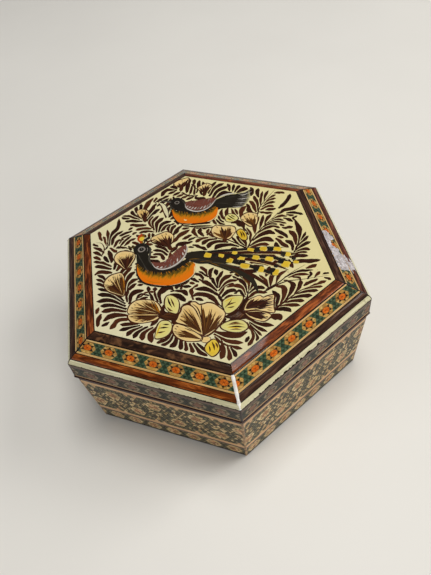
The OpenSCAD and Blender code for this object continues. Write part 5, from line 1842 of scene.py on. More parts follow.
body.poly([(2, 26.6), (6.6, 28), (6.8, 38), (3, 35)])
detail.stroke([(-5.2, 31.2), (-2.8, 33.3), (0.8, 35.0)], 0.8, "p_white", "spindle", 0.4, dz=-0.02)
for q in range(6):
    birds.stroke([(-5.6 + 0.5 * q, 27.2 + 0.7 * q), (-2.0 + .4 * q, 28.0 + 0.9 * q), (2.2, 27.8 + 1.15 * q)], 0.34, "p_slate", "spike", rng=R, dz=0.03)
# wing
wing([(-17.2, 24.6), (-15.6, 22.2), (-13.0, 21.2), (-10.6, 21.3), (-8.0, 23.0), (-6.5, 26.0), (-5.9, 30.2)],
     [(-17.4, 25.4), (-16.0, 26.2), (-13.8, 27.2), (-11.4, 28.4), (-9.4, 29.4), (-7.8, 30.2), (-6.0, 30.8)], 41, -11, 25)
# beak with a leaf under it, eye, lights, outline
birds.stroke([(-22.8, 24.7), (-25.4, 24.3), (-28.4, 23.9)], 0.9, "p_slate", "taper", 0.0, dz=0.004)
detail.stroke([(-23.0, 24.1), (-25.6, 23.8), (-28.2, 23.8)], 0.3, "p_grey", "taper", 0.2, dz=-0.02)
birds.stroke([(-27.8, 22.8), (-25.0, 21.2), (-22.8, 18.6), (-20.8, 15.4)], 1.9, "p_pale", "spindle", 0.5, n=20, dz=-0.01)
detail.stroke([(-28.6, 23.4), (-26.2, 21.2), (-24.0, 18.4), (-21.4, 14.8)], 0.50, "p_leaf", "spindle", 0.5, n=18, dz=-0.05)
detail.stroke([(-27.0, 23.2), (-24.4, 21.8), (-22.2, 19.0), (-20.6, 16.0)], 0.36, "p_slate", "spindle", 0.6, n=18, dz=-0.05)
detail.stroke([(-21.4, 24.3), (-20.8, 25.0), (-20.0, 25.0), (-19.7, 24.2), (-20.2, 23.6), (-21.0, 23.6), (-21.4, 24.3)], 0.34, "p_grey", "line", 0.4, n=16)
detail.stroke([(-14.2, 16.0), (-13.4, 15.5), (-12.8, 15.9)], 0.7, "p_petal", "spindle", 0.5)
detail.stroke([(-9.0, 15.5), (-8.0, 15.9), (-6.6, 16.7)], 0.5, "p_gold", "spindle", 0.5)
detail.stroke([(-22.4, 21.6), (-20.8, 18.8), (-18.4, 15.8), (-15.4, 13.6), (-11.4, 13.8), (-7.0, 15.2), (-3.4, 17.4), (-2.2, 21.2)], 0.5, "p_black", "spindle", 0.3, n=30, dz=-0.03)

# ------------ the lower bird, looking left, with a long spotted tail
U = [(-22.6, -9.8), (-19.2, -11.6), (-15.0, -12.0), (-10.6, -11.0), (-7.0, -8.6), (-4.6, -5.4), (-3.2, -4.0)]
Lw = [(-21.8, -11.2), (-20.0, -14.8), (-16.8, -17.1), (-12.6, -17.5), (-7.6, -16.7), (-3.4, -14.4), (-0.9, -11.0), (-0.5, -8.0), (-1.6, -4.8)]
birds.between(U, Lw, "p_belly", rows=10, n=46, h=0.035)
breast(U, 60, 6, 2.4, birds)
birds.stroke([(-23.4, -2.6), (-21.6, -7.4), (-18.4, -10.4), (-13.2, -11.2), (-8.4, -8.8), (-5.4, -5.0), (-4.4, -1.6)], 4.0, "p_black", "spindle", 0.4, n=34, h=0.05, dz=0.004)
birds.stroke([(-23.4, -1.8), (-21.8, -6.4), (-19.4, -9.6), (-16.0, -11.2)], 4.4, "p_black", "line", 0.4, n=20, h=0.05, dz=0.002)
birds.shape([(-26.9, -2.6), (-26.2, -0.5), (-24.0, 0.3), (-21.6, -0.6), (-20.2, -3.2), (-21.0, -6.2), (-24.2, -6.0), (-26.2, -4.6)],
            (-23.6, -2.8), "p_black", 0.35, h=0.045, dz=0.006)
for q in range(16):
    t = q / 15
    x, y = -25.0 + 6.2 * t, -4.6 - 6.0 * t
    birds.stroke([(x, y), (x + 1.4, y - 1.2), (x + 2.4, y - 2.8)], 0.36, "p_slate", "spike", rng=R, dz=0.032)
birds.stroke([(-21.2, -0.9), (-19.9, -3.4), (-18.8, -6.8), (-16.4, -9.6)], 0.8, "p_slate", "spindle", 0.7, dz=0.034)
wing([(-17.3, -8.2), (-14.8, -10.1), (-12.0, -10.2), (-9.4, -8.4), (-7.4, -5.2), (-6.7, -1.8), (-7.2, 1.4), (-8.2, 3.2)],
     [(-17.0, -7.6), (-15.4, -7.6), (-13.2, -6.6), (-12.0, -4.4), (-11.4, -2.2), (-10.8, 0.0), (-9.8, 1.8), (-8.6, 3.2)], 42, -10, -4)
birds.stroke([(-26.4, -2.4), (-28.0, -2.9), (-29.6, -3.9)], 1.2, "p_olive", "taper", 0.1, dz=0.003)
detail.stroke([(-26.2, -2.9), (-27.8, -3.2), (-29.4, -4.0)], 0.26, "p_black", "taper", 0.1, dz=-0.02)
detail.stroke([(-24.9, -3.0), (-24.5, -2.0), (-23.4, -1.8), (-22.5, -2.6), (-22.9, -3.8), (-24.0, -4.1), (-24.9, -3.2)], 0.62, "p_grey", "line", 0.6, n=22)
detail.shape([(-23.7 + 0.55 * math.cos(q), -2.95 + 0.5 * math.sin(q)) for q in [2 * math.pi * j / 7 for j in range(7)]], (-23.7, -2.95), "p_black", 0.1, h=0.02, dz=0.012)
detail.stroke([(-23.9, -2.8), (-23.6, -2.7)], 0.22, "p_white", "spindle", 0.8, dz=0.034)
detail.stroke([(-22.3, -1.2), (-21.5, -2.2), (-21.2, -3.6)], 0.4, "p_grey", "spindle", 0.4, dz=-0.02)
# crest
birds.stroke([(-25.2, 0.0), (-26.8, 2.2), (-27.2, 5.0)], 1.9, "p_red", "leaf", 0.5, dz=0.0)
birds.stroke([(-24.8, 0.2), (-26.0, 2.2), (-25.8, 4.4)], 1.5, "p_olive", "leaf", 0.9, dz=0.004)
birds.shape([(-26.0 + 1.0 * math.cos(q), 2.2 + 1.1 * math.sin(q)) for q in [2 * math.pi * j / 6 for j in range(6)]], (-26.0, 2.2), "p_yellow", 0.6, h=0.03, dz=0.03)
birds.stroke([(-24.2, 0.2), (-24.2, 2.4), (-23.0, 4.2)], 1.2, "p_black", "leaf", 0.5, dz=0.003)
birds.stroke([(-23.4, 0.0), (-22.6, 1.8), (-21.0, 2.8)], 0.9, "p_leaf", "leaf", 0.5, dz=0.002)
detail.stroke([(-23.2, -7.8), (-21.8, -11.4), (-19.8, -14.9), (-16.6, -17.5), (-12.4, -18.0), (-7.4, -17.2), (-3.0, -14.8), (-0.4, -11.2), (0.0, -8.0)], 0.8, "p_black", "spindle", 0.3, n=40, dz=-0.03)
detail.stroke([(-1.6, -5.8), (-0.8, -7.4), (-0.5, -9.2)], 0.5, "p_petal", "spindle", 0.6)
detail.stroke([(-16.4, -16.2), (-13.0, -16.6), (-9.0, -15.9)], 0.4, "p_gold", "spindle", 0.6, dz=-0.02)
# tail: a broad dark root, a long curved feather below, and feathers that fan out above it
birds.stroke([(-7.4, -1.8), (-2.0, -1.4), (4.0, -0.8), (9.0, -0.6), (13.6, 0.6)], 6.6, "p_black", "comma", 0.75, n=26, h=0.05)
birds.stroke([(-4.0, -2.8), (3.0, -2.8), (9.0, -3.4), (15.0, -4.6), (20.4, -7.4), (24.2, -12.4)], 2.7, "p_black", "spindle", 0.9, n=30, h=0.05, dz=0.003)
for q in range(7):
    birds.stroke([(3.0 + 2.2 * q, -2.9 - 0.10 * q * q), (5.2 + 2.2 * q, -3.3 - 0.14 * q * q), (7.6 + 2.2 * q, -3.9 - 0.17 * q * q)], 0.34, ("p_olive", "p_slate")[q % 2], "spike", rng=R, dz=0.03)
body.poly([(-7, 1.6), (6, 3.2), (14, 3.6), (16, 0), (12, -4.6), (0, -5), (-6, -5)])
tail = [
    [(-4, -0.4), (3, 2.6), (12, 5.6), (20, 8.4), (27.0, 10.4)],
    [(-2, 0.0), (8, 3.0), (17, 5.4), (26, 7.4), (34.8, 8.6)],
    [(0, -0.4), (9, 2.2), (17, 3.6), (25, 4.6), (33.0, 3.8)],
    [(1, -1.0), (9, 1.0), (17, 1.8), (25, 1.6), (31.4, 0.2)],
    [(1, -1.6), (9, -0.6), (16, -1.0), (23, -2.0), (29.0, -3.4)],
    [(6, -3.0), (13, -3.2), (19, -4.8), (24, -7.0), (27.4, -9.6)]]
for i, f in enumerate(tail):
    w = (1.5, 1.6, 1.8, 1.6, 1.7, 1.5)[i]
    birds.stroke(f, w, "p_black" if i in (0, 2, 4) else "p_leaf", "spindle", 0.3, n=28, h=0.04, dz=0.004 + 0.001 * i)
    body.mark(f, w * 0.8, "spindle")
    if i < 5:
        e = curve(f, 30)
        detail.stroke([(x, y - w * 0.50) for x, y in e[10:27]], 0.26, "p_petal", "spindle", 0.5, dz=-0.05)
        detail.stroke([(x, y + w * 0.46) for x, y in e[12:28]], 0.2, "p_leaf", "spindle", 0.5, dz=-0.05)
for q in range(12):
    x = -5.0 + 1.5 * q
    birds.stroke([(x, -3.6 + 0.2 * (q % 3)), (x + 2.4, -2.6), (x + 4.6, -2.2)], 0.4, "p_slate" if q % 3 else "p_olive", "spike", rng=R, dz=0.03)
rr = random.Random(12)


def spot(x, y, w, h_, mat_, dz):
    o_ = [(x + w / 2 * math.cos(q) * (1.1 if j % 2 else 0.92) * rr.uniform(.86, 1.12), y + h_ / 2 * math.sin(q) * (1.1 if j % 2 else .92) * rr.uniform(.86, 1.12))
          for j, q in enumerate([2 * math.pi * k_ / 8 + rr.uniform(-.1, .1) for k_ in range(8)])]
    birds.shape(o_, (x, y), mat_, rr.random(), h=0.035, dz=dz)
    body.poly(o_)


for x, y, w, h_ in ((1.3, 0.1, 3.0, 2.6), (6.2, 1.2, 2.3, 1.8), (10.4, 3.6, 2.2, 1.7), (9.8, -0.4, 2.5, 2.6), (13.5, 1.6, 3.0, 1.8), (15.6, 6.4, 2.8, 1.8),
                    (18.4, 3.2, 2.7, 2.3), (19.8, 7.9, 2.9, 2.4), (15.8, -1.6, 3.6, 2.6), (23.2, 3.7, 3.2, 2.2), (24.6, 9.0, 3.2, 2.2), (21.9, -1.8, 2.2, 2.9),
                    (29.4, 2.6, 3.4, 3.2), (29.0, 7.4, 2.0, 2.2), (27.1, -1.8, 2.3, 3.4), (32.6, 4.4, 2.0, 1.6)):
    spot(x, y, w, h_, "p_yellow", 0.034)
for x, y, w, h_ in ((4.0, 0.9, 1.7, 2.0), (8.7, 1.0, 1.8, 2.0), (12.0, 2.3, 1.8, 2.2), (14.4, 0.1, 2.3, 1.8), (16.3, 3.2, 2.1, 1.8), (17.8, 6.6, 2.4, 2.0),
                    (21.0, 2.6, 1.8, 1.6), (22.4, 8.3, 2.3, 2.2), (20.2, -1.8, 2.2, 2.5), (25.8, -1.2, 2.3, 2.2), (27.6, 3.5, 2.3, 2.0), (27.4, 7.2, 2.0, 1.9),
                    (26.4, 0.9, 1.6, 1.4), (31.4, 6.0, 1.6, 1.5)):
    spot(x, y, w, h_, "p_black", 0.040)

# ------------ leaf sprays
SPRAYS = [
    # right of the upper bird: a tall frond with broad leaves on its outer side
    (0.8, "taper", (14.2, 6.6), (14.6, 12), (16.4, 18.6), (18.8, 24.4), (20.2, 28.6)),
    (2.1, "leaf", (14.6, 8.2), (17, 11.4), (19.8, 13.0), (22.6, 12.4)), (1.2, "leaf", (14.8, 7.4), (18, 9.8), (21.4, 10.4)),
    (2.4, "leaf", (14.7, 11.0), (16.6, 14.8), (19.2, 16.8), (22.0, 16.2)), (1.6, "leaf", (15.2, 15.0), (17.4, 18.4), (20.0, 20.2), (22.8, 19.6)),
    (1.1, "leaf", (16.0, 18.0), (18.4, 20.8), (21.4, 21.4)), (1.0, "leaf", (16.8, 19.6), (20.2, 22.6), (24.6, 22.6)),
    (0.9, "leaf", (17.4, 21.0), (20.0, 23.6), (23.2, 24.0)), (1.0, "leaf", (18.6, 23.4), (20.6, 25.8), (23.8, 26.4)),
    (1.8, "spindle", (19.6, 26.4), (21.4, 29.0), (24.4, 30.8), (26.6, 34.0)),
    (0.7, "leaf", (14.4, 9.6), (13.2, 13.6), (10.6, 17.2)), (0.9, "spindle", (14.8, 14.4), (13.4, 19.0), (13.6, 24.0)),
    (0.7, "leaf", (15.6, 17.4), (15.3, 21.6), (14.8, 25.2)), (0.8, "leaf", (16.8, 20.2), (16.9, 23.4), (17.7, 26.4)),
    (1.1, "leaf", (13.6, 7.0), (12.6, 9.2), (10.2, 11.0)),
    # the frond at the back
    (0.7, "taper", (12.6, 25.0), (12.3, 29), (13.2, 33.4), (15.2, 40.2)),
    (1.0, "leaf", (12.8, 26.4), (15.4, 26.4), (18.2, 26.9)), (1.2, "leaf", (12.9, 27.6), (15.0, 30.2), (17.6, 30.6)),
    (0.9, "leaf", (13.0, 29.4), (14.8, 32.2), (17.4, 33.2)), (0.9, "leaf", (13.2, 31.0), (14.6, 34.0), (17.0, 35.4)),
    (0.7, "leaf", (13.8, 33.0), (14.8, 35.8), (16.4, 37.4)), (0.7, "leaf", (12.6, 29.6), (11.2, 34.0), (10.7, 38.4)),
    (0.6, "leaf", (13.0, 32.4), (12.5, 36.4), (12.8, 39.4)), (1.6, "leaf", (12.2, 26.8), (10.8, 31.2), (8.0, 35.0)),
    (2.4, "leaf", (11.8, 26.0), (9.8, 29.6), (7.2, 31.8)), (1.8, "leaf", (7.4, 21.6), (5.8, 24.8), (7.2, 28.8)),
    (1.5, "leaf", (10.8, 24.8), (8.6, 26.6), (6.8, 30.0)),
    # the great leaf at the right
    (3.2, "spindle", (30.8, 8.4), (31.2, 14), (30.0, 19.6), (26.6, 25.8)), (0.7, "spindle", (27.0, 24.6), (26.4, 26.2), (27.4, 27.6)),
    (1.7, "leaf", (30.2, 9.6), (29.0, 12.8), (26.2, 14.0)), (1.7, "leaf", (30.6, 12.6), (29.4, 16.8), (26.2, 19.2)),
    (1.1, "leaf", (31.0, 10.0), (32.6, 13), (35.3, 15.4)), (1.2, "leaf", (31.2, 9.4), (33.5, 11), (36.0, 11.6)),
    (0.9, "leaf", (31.2, 12), (32.4, 15.4), (33.8, 18.2)), (0.5, "leaf", (31.6, 15), (32.2, 17.6), (32.4, 20)),
    (1.8, "leaf", (29.8, 6.2), (32.6, 8), (36, 8.4)), (0.8, "leaf", (30.0, 7.4), (33.0, 9.6), (35.4, 10.0)),
    # lower right, thin sprays that run out to the corner
    (0.8, "taper", (25.6, -11.0), (31, -5.2), (36.6, -2.6), (44.4, 1.2)), (0.8, "taper", (26.0, -10.0), (29.4, -5.6), (32, -1.0), (35.8, 4.0)),
    (0.8, "leaf", (30.6, -3.2), (34.0, 0.4), (39.2, 2.4)), (0.7, "leaf", (31.8, -3.0), (35.0, -0.6), (38.4, 0.0)),
    (0.7, "leaf", (38.2, -2.2), (38.6, 0.0), (38.4, 1.6)), (0.6, "leaf", (40.2, -1.0), (41.0, 1.0), (41.4, 2.4)),
    (0.6, "leaf", (28.4, -6.6), (28.6, -2.6), (30.6, 0.2)), (0.8, "leaf", (27.0, -8.4), (26.2, -4.4), (26.8, -0.6)),
    (0.7, "leaf", (26.6, -9.2), (24.6, -6.2), (21.8, -4.2)),
    # right edge: ribs that reach the frame, arches on the inner side
    (1.0, "taper", (31.0, -17.0), (34.4, -11.6), (37.6, -7.0), (43.4, -2.2)),
    (1.0, "leaf", (31.6, -16.0), (35.0, -14.2), (38.6, -13.6)), (1.1, "leaf", (33.0, -13.8), (36.6, -12.0), (40.0, -11.4)),
    (1.2, "leaf", (34.4, -11.6), (38.0, -9.6), (41.4, -8.6)), (1.1, "leaf", (36.0, -9.2), (39.4, -7.0), (42.8, -6.0)),
    (0.9, "leaf", (37.8, -6.8), (41.0, -4.8), (43.8, -4.0)), (0.8, "leaf", (39.8, -5.0), (42.4, -3.0), (44.4, -1.2)),
    (1.3, "leaf", (33.2, -13.4), (34.4, -8.4), (33.6, -4.8), (30.4, -4.6)), (1.4, "leaf", (32.2, -15.0), (32.6, -10.6), (31.0, -7.4), (28.2, -7.6)),
    (1.1, "leaf", (35.6, -9.4), (36.6, -5.6), (35.4, -2.4), (32.4, -2.2)), (1.0, "leaf", (31.2, -16.4), (30.6, -12.0), (28.0, -9.8)),
    (2.2, "leaf", (30.4, -17.6), (33.6, -15.8), (37.0, -17.2)), (2.8, "leaf", (29.8, -20.4), (33.0, -20.0), (35.0, -22.6)),
    (1.2, "leaf", (22.0, -21.8), (26.6, -24.0), (32.6, -23.6)), (0.7, "leaf", (24.4, -24.2), (28.0, -25.8), (31.2, -26.4)),
    (0.6, "leaf", (24.6, -24.8), (27.6, -27.0), (30.0, -28.4)), (1.6, "leaf", (23.8, -24.6), (27.4, -28.6), (26.8, -33.2)),
    (1.0, "leaf", (25.2, -25.4), (28.6, -29.0), (28.6, -31.6)),
    (2.4, "leaf", (14.6, -30.6), (18.2, -31.2), (22.0, -30.4), (25.2, -28.0)), (1.1, "leaf", (15.0, -31.6), (20.0, -33.2), (25.2, -32.4)),
    (1.1, "leaf", (15.6, -32.4), (20, -34.6), (25.6, -34.6)), (1.9, "leaf", (17.8, -32.8), (20.2, -36.4), (20.2, -40.0)),
    (1.1, "leaf", (20.4, -34.4), (22.4, -37.4), (22.8, -39.8)), (0.8, "leaf", (21.8, -35.0), (23.8, -37.0), (25.0, -38.4)),
    # along the front
    (2.2, "leaf", (3.2, -34.6), (4.4, -37.6), (3.2, -40.2)), (1.0, "leaf", (5.4, -36.2), (6.6, -38.4), (6.8, -40.2)),
    (0.9, "leaf", (7.2, -36.8), (8.4, -38.8), (8.8, -40.2)), (1.0, "leaf", (8.8, -37.0), (10.4, -38.8), (11.2, -40.2)),
    (1.0, "leaf", (9.8, -36.6), (13.0, -39.0), (16.0, -40.0)), (0.9, "leaf", (11, -36.4), (14.6, -38.2), (17.2, -38.8)),
    (1.6, "leaf", (1.8, -33.4), (1.4, -37.6), (-1.6, -39.8)), (1.1, "leaf", (2.4, -34.4), (2.0, -38.2), (0.2, -40.2)),
    (1.7, "leaf", (-3.6, -33.6), (-4.9, -36.8), (-3.0, -40.2)), (1.4, "leaf", (-5.0, -34.4), (-7.2, -37.2), (-6.4, -40.2)),
    (1.1, "leaf", (-6.8, -34.6), (-9.2, -37.4), (-9.6, -40.2)), (1.0, "leaf", (-8.6, -35.0), (-11.4, -37.6), (-12.2, -40.0)),
    (0.9, "leaf", (-9.6, -34.8), (-13.0, -36.8), (-15.6, -38.6)), (0.9, "leaf", (-10.4, -34.4), (-13.6, -35.6), (-16.4, -36.2)),
    # the lower left corner
    (3.2, "leaf", (-13.8, -33.0), (-17.2, -34.8), (-18.8, -39.0)), (2.0, "leaf", (-15.6, -32.2), (-20.0, -33.2), (-22.6, -36.6)),
    (1.6, "leaf", (-16.6, -30.8), (-21.6, -31.2), (-25.0, -33.2)), (1.3, "leaf", (-17.0, -29.8), (-22.6, -29.6), (-26.6, -31.0)),
    (1.8, "leaf", (-17.8, -28.8), (-24.0, -27.8), (-28.8, -29.6)), (1.5, "leaf", (-18.4, -27.8), (-25.0, -25.8), (-30.0, -26.6)),
    (1.2, "leaf", (-19.4, -27.0), (-25.6, -24.2), (-31.2, -24.2)), (0.8, "leaf", (-27.0, -23.6), (-30.6, -22.2), (-33.0, -22.4)),
    (0.8, "leaf", (-28.0, -22.2), (-31.0, -20.6), (-33.8, -20.4)), (0.7, "leaf", (-29.6, -20.4), (-31.8, -19.0), (-34.4, -18.4)),
    # fountain left of the middle
    (3.2, "leaf", (-17.0, -27.6), (-18.4, -23.8), (-14.6, -20.6)), (1.7, "leaf", (-18.0, -27.0), (-20.4, -22.0), (-18.4, -18.4)),
    (2.2, "leaf", (-19.4, -24.6), (-21.0, -19.6), (-18.8, -16.2)), (1.9, "leaf", (-20.8, -23.0), (-22.8, -17.6), (-21.4, -13.4)),
    (1.3, "leaf", (-22.4, -21.0), (-24.6, -16.0), (-23.6, -11.6)), (1.0, "leaf", (-15.6, -25.2), (-14.6, -22.6), (-11.6, -22.4)),
    (0.9, "leaf", (-15.2, -24.4), (-13.2, -21.4), (-10.4, -20.4)), (2.6, "leaf", (-6.4, -24.6), (-9.2, -20.8), (-6.6, -17.8), (-4.0, -18.4)),
    (1.5, "leaf", (-7.6, -24.2), (-10.4, -20.8), (-11.4, -18.4)), (1.0, "leaf", (-9.2, -24.4), (-12.4, -21.2), (-14.0, -18.6)),
    (2.0, "leaf", (-5.0, -20.2), (-1.6, -19.8), (1.4, -21.8)), (1.1, "leaf", (-5.4, -18.8), (-1.6, -17.6), (1.2, -19.2)),
    (1.1, "leaf", (-2.2, -17.2), (-2.4, -15.0), (-0.6, -12.6)), (1.2, "leaf", (-4.0, -17.4), (-3.4, -16.0), (1.0, -15.0)),
    # the great fountain over the middle blossom
    (2.4, "leaf", (13.6, -18.8), (11.0, -16.0), (6.6, -14.8), (2.2, -15.8)), (2.1, "leaf", (12.8, -20.2), (8.6, -17.4), (4.6, -17.6), (2.2, -19.6)),
    (1.4, "leaf", (3.6, -20.4), (1.6, -16.6), (2.8, -13.4)), (1.3, "leaf", (10.2, -14.8), (6.6, -12.4), (2.0, -11.2)),
    (1.3, "leaf", (10.0, -13.4), (6.0, -9.8), (0.8, -7.8)), (1.0, "leaf", (6.4, -10.4), (4.8, -8.0), (5.4, -4.8)),
    (0.9, "leaf", (9.8, -13.2), (8.6, -9.4), (9.2, -5.4)), (1.5, "leaf", (10.2, -13.2), (10.4, -9.2), (13.0, -6.4)),
    (1.1, "leaf", (3.8, -11.2), (2.0, -9.0), (-0.2, -9.4)), (0.9, "leaf", (5.0, -9.6), (2.6, -6.6), (0.4, -5.6)),
    (1.6, "leaf", (11.4, -16.4), (12.0, -12.2), (14.8, -10.0)), (1.6, "leaf", (12.4, -17.2), (14.0, -13.6), (17.2, -13.4)),
    (1.1, "leaf", (10.6, -14.6), (12.4, -10.2), (15.6, -8.0)),
    # arches from the right
    (1.3, "leaf", (20.4, -13.0), (17.8, -9.0), (13.0, -7.0)), (1.2, "leaf", (20.0, -14.0), (18.2, -11.2), (14.6, -10.6), (12.6, -12.4)),
    (1.1, "leaf", (20.6, -12.0), (19.2, -8.0), (16.2, -5.4)), (1.0, "leaf", (20.8, -11.4), (20.8, -8.0), (19.0, -5.6)),
    (1.5, "leaf", (20.8, -13.0), (22.4, -10.2), (25.6, -9.4)), (1.3, "leaf", (21.0, -15.0), (23.0, -11.8), (26.8, -11.0)),
    (2.4, "spindle", (17.8, -26.0), (20.6, -21.6), (21.0, -16.8), (20.4, -11.6)), (1.4, "spindle", (16.2, -24.0), (19.6, -23.2), (23.4, -22.0), (28.2, -22.6)),
    (1.0, "leaf", (20.2, -14.8), (17.8, -12.8), (16.0, -14.4)),
    # under and left of the lower bird
    (1.8, "leaf", (-28.2, -15.0), (-28.0, -11.4), (-25.4, -9.4)), (1.3, "leaf", (-29.4, -14.6), (-30.2, -10.8), (-28.6, -7.4)),
    (1.3, "leaf", (-26.4, -16.6), (-25.4, -12.8), (-23.8, -10.8)), (1.0, "leaf", (-30.2, -8.6), (-29.6, -5.6), (-27.8, -4.8)),
    (2.1, "leaf", (-29.4, -16.2), (-32.8, -16.6), (-35.4, -18.8)), (1.3, "leaf", (-30.4, -14.6), (-34.8, -14.4), (-38.4, -15.6)),
    (1.0, "leaf", (-31.0, -13.4), (-36.0, -12.4), (-39.4, -13.2)), (0.8, "leaf", (-36.4, -11.6), (-38.6, -10.8), (-40.8, -11.0)),
    (0.8, "leaf", (-36.8, -9.6), (-39.4, -8.6), (-41.8, -8.6)), (0.8, "leaf", (-36.8, -8.0), (-40.0, -6.4), (-43.0, -6.4)),
    (0.8, "taper", (-37.2, -9.0), (-37.8, -6.0), (-40.2, -3.6), (-42.6, -3.8)), (0.7, "leaf", (-37.4, -6.4), (-37.2, -4.0), (-38.6, -2.6)),
    (1.2, "spindle", (-36.6, -4.4), (-38.6, 1.0), (-38.0, 6.0), (-39.8, 10.6)), (1.2, "spindle", (-35.8, -3.6), (-37.2, 0.0), (-35.0, 4.8)),
    (0.7, "leaf", (-37.4, -4.0), (-39.4, 0.4), (-41.6, 3.8)), (0.7, "leaf", (-37.8, -4.2), (-40.0, -1.4), (-41.4, 0.0)),
    (1.0, "leaf", (-34.6, -4.4), (-34.4, -1.2), (-32.6, 0.6)), (0.8, "leaf", (-32.4, -3.4), (-32.0, 0.2), (-30.6, 3.0)),
    (0.8, "leaf", (-31.0, -2.8), (-30.0, 0.0), (-28.4, 2.2)), (0.9, "leaf", (-33.6, -4.6), (-32.2, -3.6), (-29.4, -3.4)),
    (0.7, "leaf", (-33.4, -2.2), (-33.2, 1.0), (-31.4, 3.4)),
    # between the two birds, left
    (1.5, "leaf", (-21.8, 6.8), (-23.8, 11.4), (-22.4, 15.2)), (1.9, "leaf", (-21.2, 7.0), (-21.4, 11.4), (-18.6, 14.0)),
    (1.3, "leaf", (-20.4, 7.6), (-19.6, 10.8), (-16.8, 13.0)), (1.1, "leaf", (-23.2, 7.6), (-25.8, 11.6), (-24.8, 15.8)),
    (1.0, "leaf", (-24.4, 8.6), (-27.2, 12.0), (-26.8, 15.0)), (1.7, "leaf", (-28.2, 11.6), (-27.6, 15.8), (-26.0, 19.6)),
    (1.3, "leaf", (-29.2, 12.2), (-29.0, 17.4), (-28.6, 22.4)), (2.1, "leaf", (-30.4, 13.0), (-32.2, 18.4), (-31.2, 25.2)),
    (1.1, "leaf", (-31.2, 14.6), (-33.8, 18.4), (-34.8, 20.8)), (1.1, "leaf", (-29.8, 11.2), (-34.0, 10.6), (-36.8, 9.6)),
    (1.4, "leaf", (-27.4, 9.6), (-31.2, 8.4), (-34.0, 8.4)), (1.2, "leaf", (-24.6, 8.2), (-28.0, 7.6), (-30.4, 6.0)),
    (0.9, "leaf", (-22.8, 6.8), (-26.0, 6.4), (-28.6, 4.8)), (1.1, "leaf", (-31.2, 12.6), (-35.0, 14.2), (-37.2, 16.4)),
    (0.9, "leaf", (-31.4, 12.0), (-36.0, 12.6), (-39.2, 12.2)), (0.8, "leaf", (-33.4, 14.6), (-35.4, 17.2), (-35.6, 19.6)),
    (2.8, "spindle", (-13.8, 2.8), (-12.6, 7.2), (-9.8, 11.2)), (2.9, "leaf", (-12.4, -1.6), (-10.6, 3.0), (-6.4, 5.6)),
    (1.8, "spindle", (-14.8, 3.6), (-14.8, 8.8), (-13.4, 13.8)), (1.2, "leaf", (-15.6, 5.6), (-17.0, 9.8), (-16.0, 12.4)),
    (0.8, "leaf", (-16.8, 7.8), (-18.4, 10.2), (-18.2, 12.4)), (1.2, "leaf", (-13.2, -0.6), (-15.4, 4.0), (-14.4, 6.8)),
    (1.6, "leaf", (-11.8, -4.6), (-12.6, -1.0), (-11.0, 2.0)), (1.4, "leaf", (-13.4, -5.8), (-15.4, -3.6), (-18.6, -4.2)),
    (1.2, "leaf", (-13.0, -3.4), (-15.8, -1.8), (-19.4, -2.2)), (0.9, "leaf", (-13.2, -1.8), (-16.6, -0.2), (-19.8, 0.2)),
    # between the two birds, right
    (0.9, "taper", (13.4, 7.0), (8.0, 8.8), (1.6, 9.6), (-7.6, 7.4)), (2.1, "leaf", (11.0, 7.0), (7.0, 7.4), (3.8, 5.8), (2.8, 3.4)),
    (1.4, "leaf", (6.4, 8.2), (2.2, 7.8), (0.2, 5.8), (0.2, 3.4)), (1.3, "leaf", (1.8, 9.0), (-1.4, 7.6), (-2.6, 4.6)),
    (1.3, "leaf", (-1.6, 8.8), (-4.4, 7.6), (-5.2, 5.2)), (1.1, "leaf", (-4.4, 8.2), (-6.8, 7.6), (-8.4, 5.4)),
    (0.9, "leaf", (0.0, 9.4), (-2.4, 11.0), (-3.0, 13.4)), (1.0, "leaf", (-3.4, 9.0), (-5.6, 10.6), (-6.2, 13.0)),
    (0.9, "leaf", (-5.6, 8.4), (-8.0, 10.0), (-8.6, 12.8)), (1.4, "leaf", (-8.6, 12.6), (-4.6, 13.4), (-0.8, 15.0)),
    (0.7, "spindle", (-14.2, 12.6), (-9.0, 13.0), (-2.2, 15.2)), (1.4, "leaf", (-2.4, 9.8), (-1.6, 12.4), (-0.6, 14.4)),
    (2.6, "leaf", (4.2, 18.2), (6.6, 19.2), (9.0, 17.4), (11.2, 15.2)), (0.9, "leaf", (9.2, 17.0), (11.2, 15.4), (12.8, 13.4)),
    (0.9, "leaf", (7.0, 11.0), (9.2, 8.8), (12.0, 7.4)), (1.3, "leaf", (8.6, 12.0), (10.8, 9.4), (13.2, 7.8)),
    (0.7, "leaf", (0.4, 26.2), (0.6, 23.4), (2.4, 20.0)), (0.7, "leaf", (1.8, 25.8), (3.6, 23.6), (5.2, 22.4)),
    (0.8, "leaf", (-1.6, 24.8), (-1.2, 21.8), (1.0, 19.2)), (0.7, "leaf", (3.2, 26.0), (4.4, 24.2), (5.2, 23.0)),
    (0.9, "leaf", (-1.8, 21.0), (-0.4, 18.8), (1.6, 17.8)), (0.8, "leaf", (-2.0, 18.8), (0.2, 17.2), (2.4, 16.8)),
    # around the blossoms at the back
    (2.8, "leaf", (-23.4, 31.4), (-27.6, 30.8), (-28.4, 26.4)), (1.6, "leaf", (-23.6, 32.2), (-27.8, 33.2), (-30.6, 32.2)),
    (2.1, "spindle", (-19.0, 30.6), (-19.8, 35.6), (-21.4, 40.0)), (1.4, "leaf", (-17.4, 30.6), (-18.2, 35.8), (-18.8, 39.8)),
    (1.5, "leaf", (-15.4, 30.4), (-16.8, 34.4), (-19.0, 36.8)), (1.0, "leaf", (-15.0, 31.6), (-15.8, 36.0), (-16.6, 39.6)),
    (2.1, "leaf", (-9.2, 30.8), (-8.8, 36.0), (-6.0, 39.8)), (2.6, "leaf", (-7.6, 30.2), (-6.8, 35.2), (-3.4, 38.2)),
